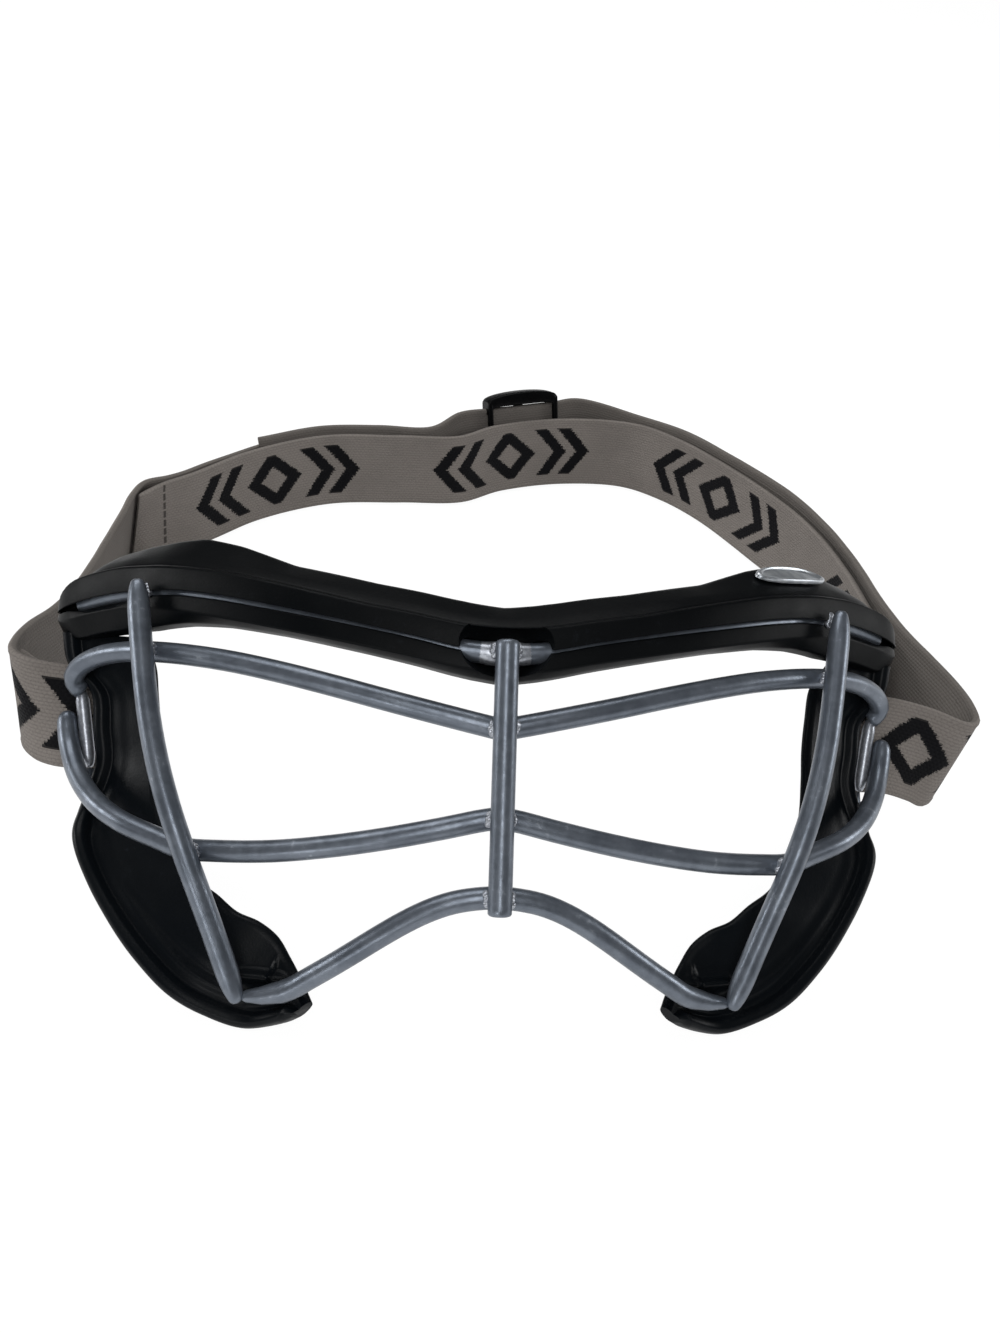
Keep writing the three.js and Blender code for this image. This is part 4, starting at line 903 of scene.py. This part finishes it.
# One run of webbing with its motif on one face, and its length
def ribbon(name, places, motifOutside):
    run = runThrough(places)
    marks = evenPlaces(run.centres, strapSizes["spacing"])
    section = webbingSection()
    rows = []
    for k, (place, far) in enumerate(marks):
        centre, wide, out = run(place)
        thin = strapSizes["endThin"][min(k, len(marks) - 1 - k, 2)]
        seed = Vector((far * strapSizes["ripplePerMm"], strapSizes["rippleSeed"], 0))
        drift = noise.noise(seed) * strapSizes["ripple"]
        ripples = [drift * math.cos(v * strapSizes["rippleAcross"]) for v, t in section]
        rows.append([centre + wide * v + out * (t * thin + ripple) for (v, t), ripple in zip(section, ripples)])
    turn = len(section) // 2
    plain = (turn, len(section)) if motifOutside else (0, turn)
    widths = [v for v, t in section] + [section[0][0]]
    piece = skin(name, rows, lengths=[far for place, far in marks], widths=widths, plain=plain)
    crease(piece, degrees=60)
    return piece, marks[-1][1]


barEnd = cagePoint(strapSizes["barAcross"] - strapSizes["foldRadius"],
                   strapSizes["barBack"] + strapSizes["foldRadius"], strapSizes["barUp"])
leftBarEnd = Vector((-barEnd.x, barEnd.y, barEnd.z))
bandStations = stations(strapSizes["band"]) + [(barEnd, cageUp)]
bandRun = runThrough(bandStations)


# The straight stretch of the tail that the slider grips, held level
def sliderTrack():
    ends = [shifted(bandRun, place, strapSizes["trackStep"], 0) for place in strapSizes["track"]]
    (start, startWide), (stop, stopWide) = ends
    wide = (startWide + stopWide).normalized()
    start.z = stop.z = (strapSizes["width"] / 2 + strapSizes["trackReach"]) * wide.z + strapSizes["trackLift"]
    parts = strapSizes["trackParts"]
    return [(start.lerp(stop, k / parts), wide) for k in range(parts + 1)]


# Stretches that lie one layer outside the band
def layered(key, rise):
    return [shifted(bandRun, place, strapSizes["layer"], rise) for place in strapSizes[key]]


mainList = bandStations + foldStations(1) + stations(strapSizes["returnSide"])
tailRise = strapSizes["tailRise"]
mainList += layered("returnBack", tailRise) + sliderTrack() + layered("tailBack", tailRise)
loopList = stations(strapSizes["loopStart"]) + [(leftBarEnd, cageUp)] + foldStations(-1)
loopList += stations(strapSizes["loopSide"]) + layered("loopBack", strapSizes["loopRise"])
strapMain, mainLength = ribbon("elastic_strap", mainList, False)
strapLoop, loopLength = ribbon("elastic_strap_loop", loopList, True)
for piece, nodes in ((strapMain, ("strap_band", "strap_return", "right_strap_wrap")),
                     (strapLoop, ("strap_left", "left_strap_wrap"))):
    piece.data.materials.append(webbing)
    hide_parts(*nodes)
    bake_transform(piece)
print("strap ready, main run", round(mainLength), "mm, loop", round(loopLength), "mm")


# Slider: one rail below, a centre bar outside, two end bars on the inner side and a domed cap on top
sliderSizes = {
    "length": 24.0, "rail": 1.8, "bar": 1.6, "endBar": 1.6, "centreBar": 3.0, "gap": 0.4, "edgeRound": 0.4,
    "dome": 2.2, "droop": 2.2, "droopPower": 8, "narrow": 0.1, "narrowPower": 16, "squareness": 0.35,
    "capAlong": 40, "capAround": 24,
}


def slider():
    track = sliderTrack()
    start, end = track[0][0], track[-1][0]
    way = (start - end).normalized()
    out = track[0][1].cross(way).normalized()
    wide = way.cross(out).normalized()
    middle = (start + end) / 2
    length, rail, barDeep = sliderSizes["length"], sliderSizes["rail"], sliderSizes["bar"]
    inside = strapSizes["thickness"] / 2 + sliderSizes["gap"]
    opening = strapSizes["width"] / 2 + sliderSizes["gap"]
    deep = (inside + barDeep) * 2
    tall = opening * 2 + rail * 1.5
    boxes = [((0, -opening - rail / 2, 0), (length, rail, deep)),
             ((0, 0, inside + barDeep / 2), (sliderSizes["centreBar"], tall, barDeep))]
    for side in (-1, 1):
        centre = (side * (length - sliderSizes["endBar"]) / 2, 0, -inside - barDeep / 2)
        boxes.append((centre, (sliderSizes["endBar"], tall, barDeep)))
    bm = bmesh.new()
    for centre, size in boxes:
        for v in bmesh.ops.create_cube(bm, size=1.0)["verts"]:
            v.co = Vector(c + k * d for c, k, d in zip(centre, v.co, size))
    bmesh.ops.bevel(bm, geom=bm.edges[:], offset=sliderSizes["edgeRound"], offset_type="OFFSET", segments=3,
                    profile=0.5, affect="EDGES", clamp_overlap=True, material=-1)
    # The cap's ring of points follows a rounded square, and its top a flat arch
    alongSteps, aroundSteps = sliderSizes["capAlong"], sliderSizes["capAround"]
    made = bmesh.ops.create_grid(bm, x_segments=alongSteps, y_segments=aroundSteps, size=1.0)["verts"]
    for v in made:
        share, turn = v.co.x, v.co.y * math.pi
        arch = sliderSizes["dome"] * math.sqrt(max(1 - share * share, 0)) + rail
        foot = -sliderSizes["droop"] * abs(share) ** sliderSizes["droopPower"]
        side, up = (math.copysign(abs(k) ** sliderSizes["squareness"], k) for k in (math.cos(turn), math.sin(turn)))
        side *= deep / 2 * (1 - abs(share) ** sliderSizes["narrowPower"] * sliderSizes["narrow"])
        v.co = Vector((share * length / 2, opening + foot + (arch - foot) * (0.5 + up / 2), side))
    bmesh.ops.remove_doubles(bm, verts=made, dist=1e-4)
    bmesh.ops.holes_fill(bm, edges=[e for e in bm.edges if len(e.link_faces) == 1], sides=0)
    for v in bm.verts:
        v.co = inFrame(middle + way * v.co.x + wide * v.co.y + out * v.co.z)
    bm.normal_update()
    bmesh.ops.recalc_face_normals(bm, faces=bm.faces)
    piece = toObject("slide_adjuster", bm)
    crease(piece, degrees=40)
    return settle(piece, "slider", buckleBlack, ("slider",))


slider()
print("slider ready")


# Floor, light and camera
floorLook = {"colour": "#fafafa", "roughness": 0.9, "size": 3.0, "drop": 0.0004,
             "glow": 1.06, "seen": 0.9, "mirrored": 0.5}  # the white that the camera sees, and that metal mirrors


def stageFloor():
    bm = bmesh.new()
    bmesh.ops.create_grid(bm, x_segments=2, y_segments=2, size=floorLook["size"])
    floor = toObject("floor", bm)
    floor.location.z = -floorLook["drop"]
    base = {"Roughness": floorLook["roughness"], "Specular IOR Level": 0.1}
    material, tree, shader = newMaterial("pale_floor", floorLook["colour"], base)
    rays = addNode(tree, "LightPath").node.outputs
    glow = addNode(tree, "Emission", {"Color": (1, 1, 1, 1), "Strength": floorLook["glow"]})
    seen = addNode(tree, "Math", (rays["Is Camera Ray"], rays["Is Transmission Ray"]), operation="MAXIMUM")
    seen = addNode(tree, "Math", (seen, floorLook["seen"]), operation="MULTIPLY")
    mirrored = addNode(tree, "Math", (rays["Is Glossy Ray"], floorLook["mirrored"]), operation="MULTIPLY")
    share = addNode(tree, "Math", (seen, mirrored), operation="MAXIMUM")
    surface = addNode(tree, "MixShader", (share, shader.outputs[0], glow))
    tree.links.new(surface, tree.nodes["Material Output"].inputs["Surface"])
    floor.data.materials.append(material)


lightSizes = {
    "fill": 0.3, "shine": 0.08,  # how strongly the white surroundings light the object, and mirror in it
    # each lamp's place and target, its width and height, all in metres, and its watts
    "lamps": (("ceiling_light", (-0.2, 0.5, 1.05), (0, 0, 0), (1.1, 0.6), 6.4),
              ("camera_light", (-0.1, -0.85, 0.95), (0, 0, 0.03), (0.3, 0.8), 4.0),
              ("front_light", (-0.5, -1.1, 0.25), (0, 0, 0.03), (0.5, 0.25), 1.8),
              ("left_window", (-1.0, 0.05, 0.3), (0, 0, 0.03), (0.35, 0.3), 2.3),
              ("right_window", (1.0, 0.0, 0.3), (0, 0, 0.03), (0.35, 0.3), 2.1)),
}


def softLamp(name, place, target, size, power):
    lamp = bpy.data.lights.new(name, "AREA")
    lamp.shape, lamp.size, lamp.size_y, lamp.energy = "RECTANGLE", size[0], size[1], power
    holder = bpy.data.objects.new(name, lamp)
    bpy.context.scene.collection.objects.link(holder)
    holder.location = place
    holder.rotation_euler = (Vector(target) - Vector(place)).to_track_quat("-Z", "Y").to_euler()


def whiteSurroundings():
    world = bpy.data.worlds.new("studio")
    bpy.context.scene.world = world
    world.use_nodes = True
    tree = world.node_tree
    rays = addNode(tree, "LightPath").node.outputs
    seen = addNode(tree, "Math", (rays["Is Camera Ray"], rays["Is Transmission Ray"]), operation="MAXIMUM")
    shine = (rays["Is Glossy Ray"], lightSizes["shine"] - lightSizes["fill"], lightSizes["fill"])
    shine = addNode(tree, "Math", shine, operation="MULTIPLY_ADD")
    tree.nodes["Background"].inputs["Color"].default_value = (1, 1, 1, 1)
    feed(tree, tree.nodes["Background"], {"Strength": addNode(tree, "Math", (seen, shine), operation="MAXIMUM")})


stageFloor()
for lampRow in lightSizes["lamps"]:
    softLamp(*lampRow)
whiteSurroundings()

# Solved from the photograph: place in millimetres, and a focal length of 1150 of its 1333 pixels
viewSizes = {"lens": 1150 / 1333 * 36, "sensor": 36, "nearest": 0.01, "place": (-24.248, -233.244, 185.816),
             "right": (0.995321, -0.043438, 0.086304), "down": (0.040067, -0.627257, -0.777781),
             "look": (0.08792, 0.7776, -0.622582)}
camera = bpy.data.objects.new("camera", bpy.data.cameras.new("camera"))
bpy.context.scene.collection.objects.link(camera)
camera.data.lens, camera.data.sensor_width, camera.data.sensor_fit = viewSizes["lens"], viewSizes["sensor"], "AUTO"
camera.data.clip_start = viewSizes["nearest"]
right, down, look = (Vector(viewSizes[k]) for k in ("right", "down", "look"))
turned = Matrix((right, -down, -look)).transposed().to_4x4()
camera.matrix_world = Matrix.Translation(Vector(viewSizes["place"]) * millimetre) @ turned
bpy.context.scene.camera = camera
bpy.context.scene.view_settings.view_transform = "Standard"
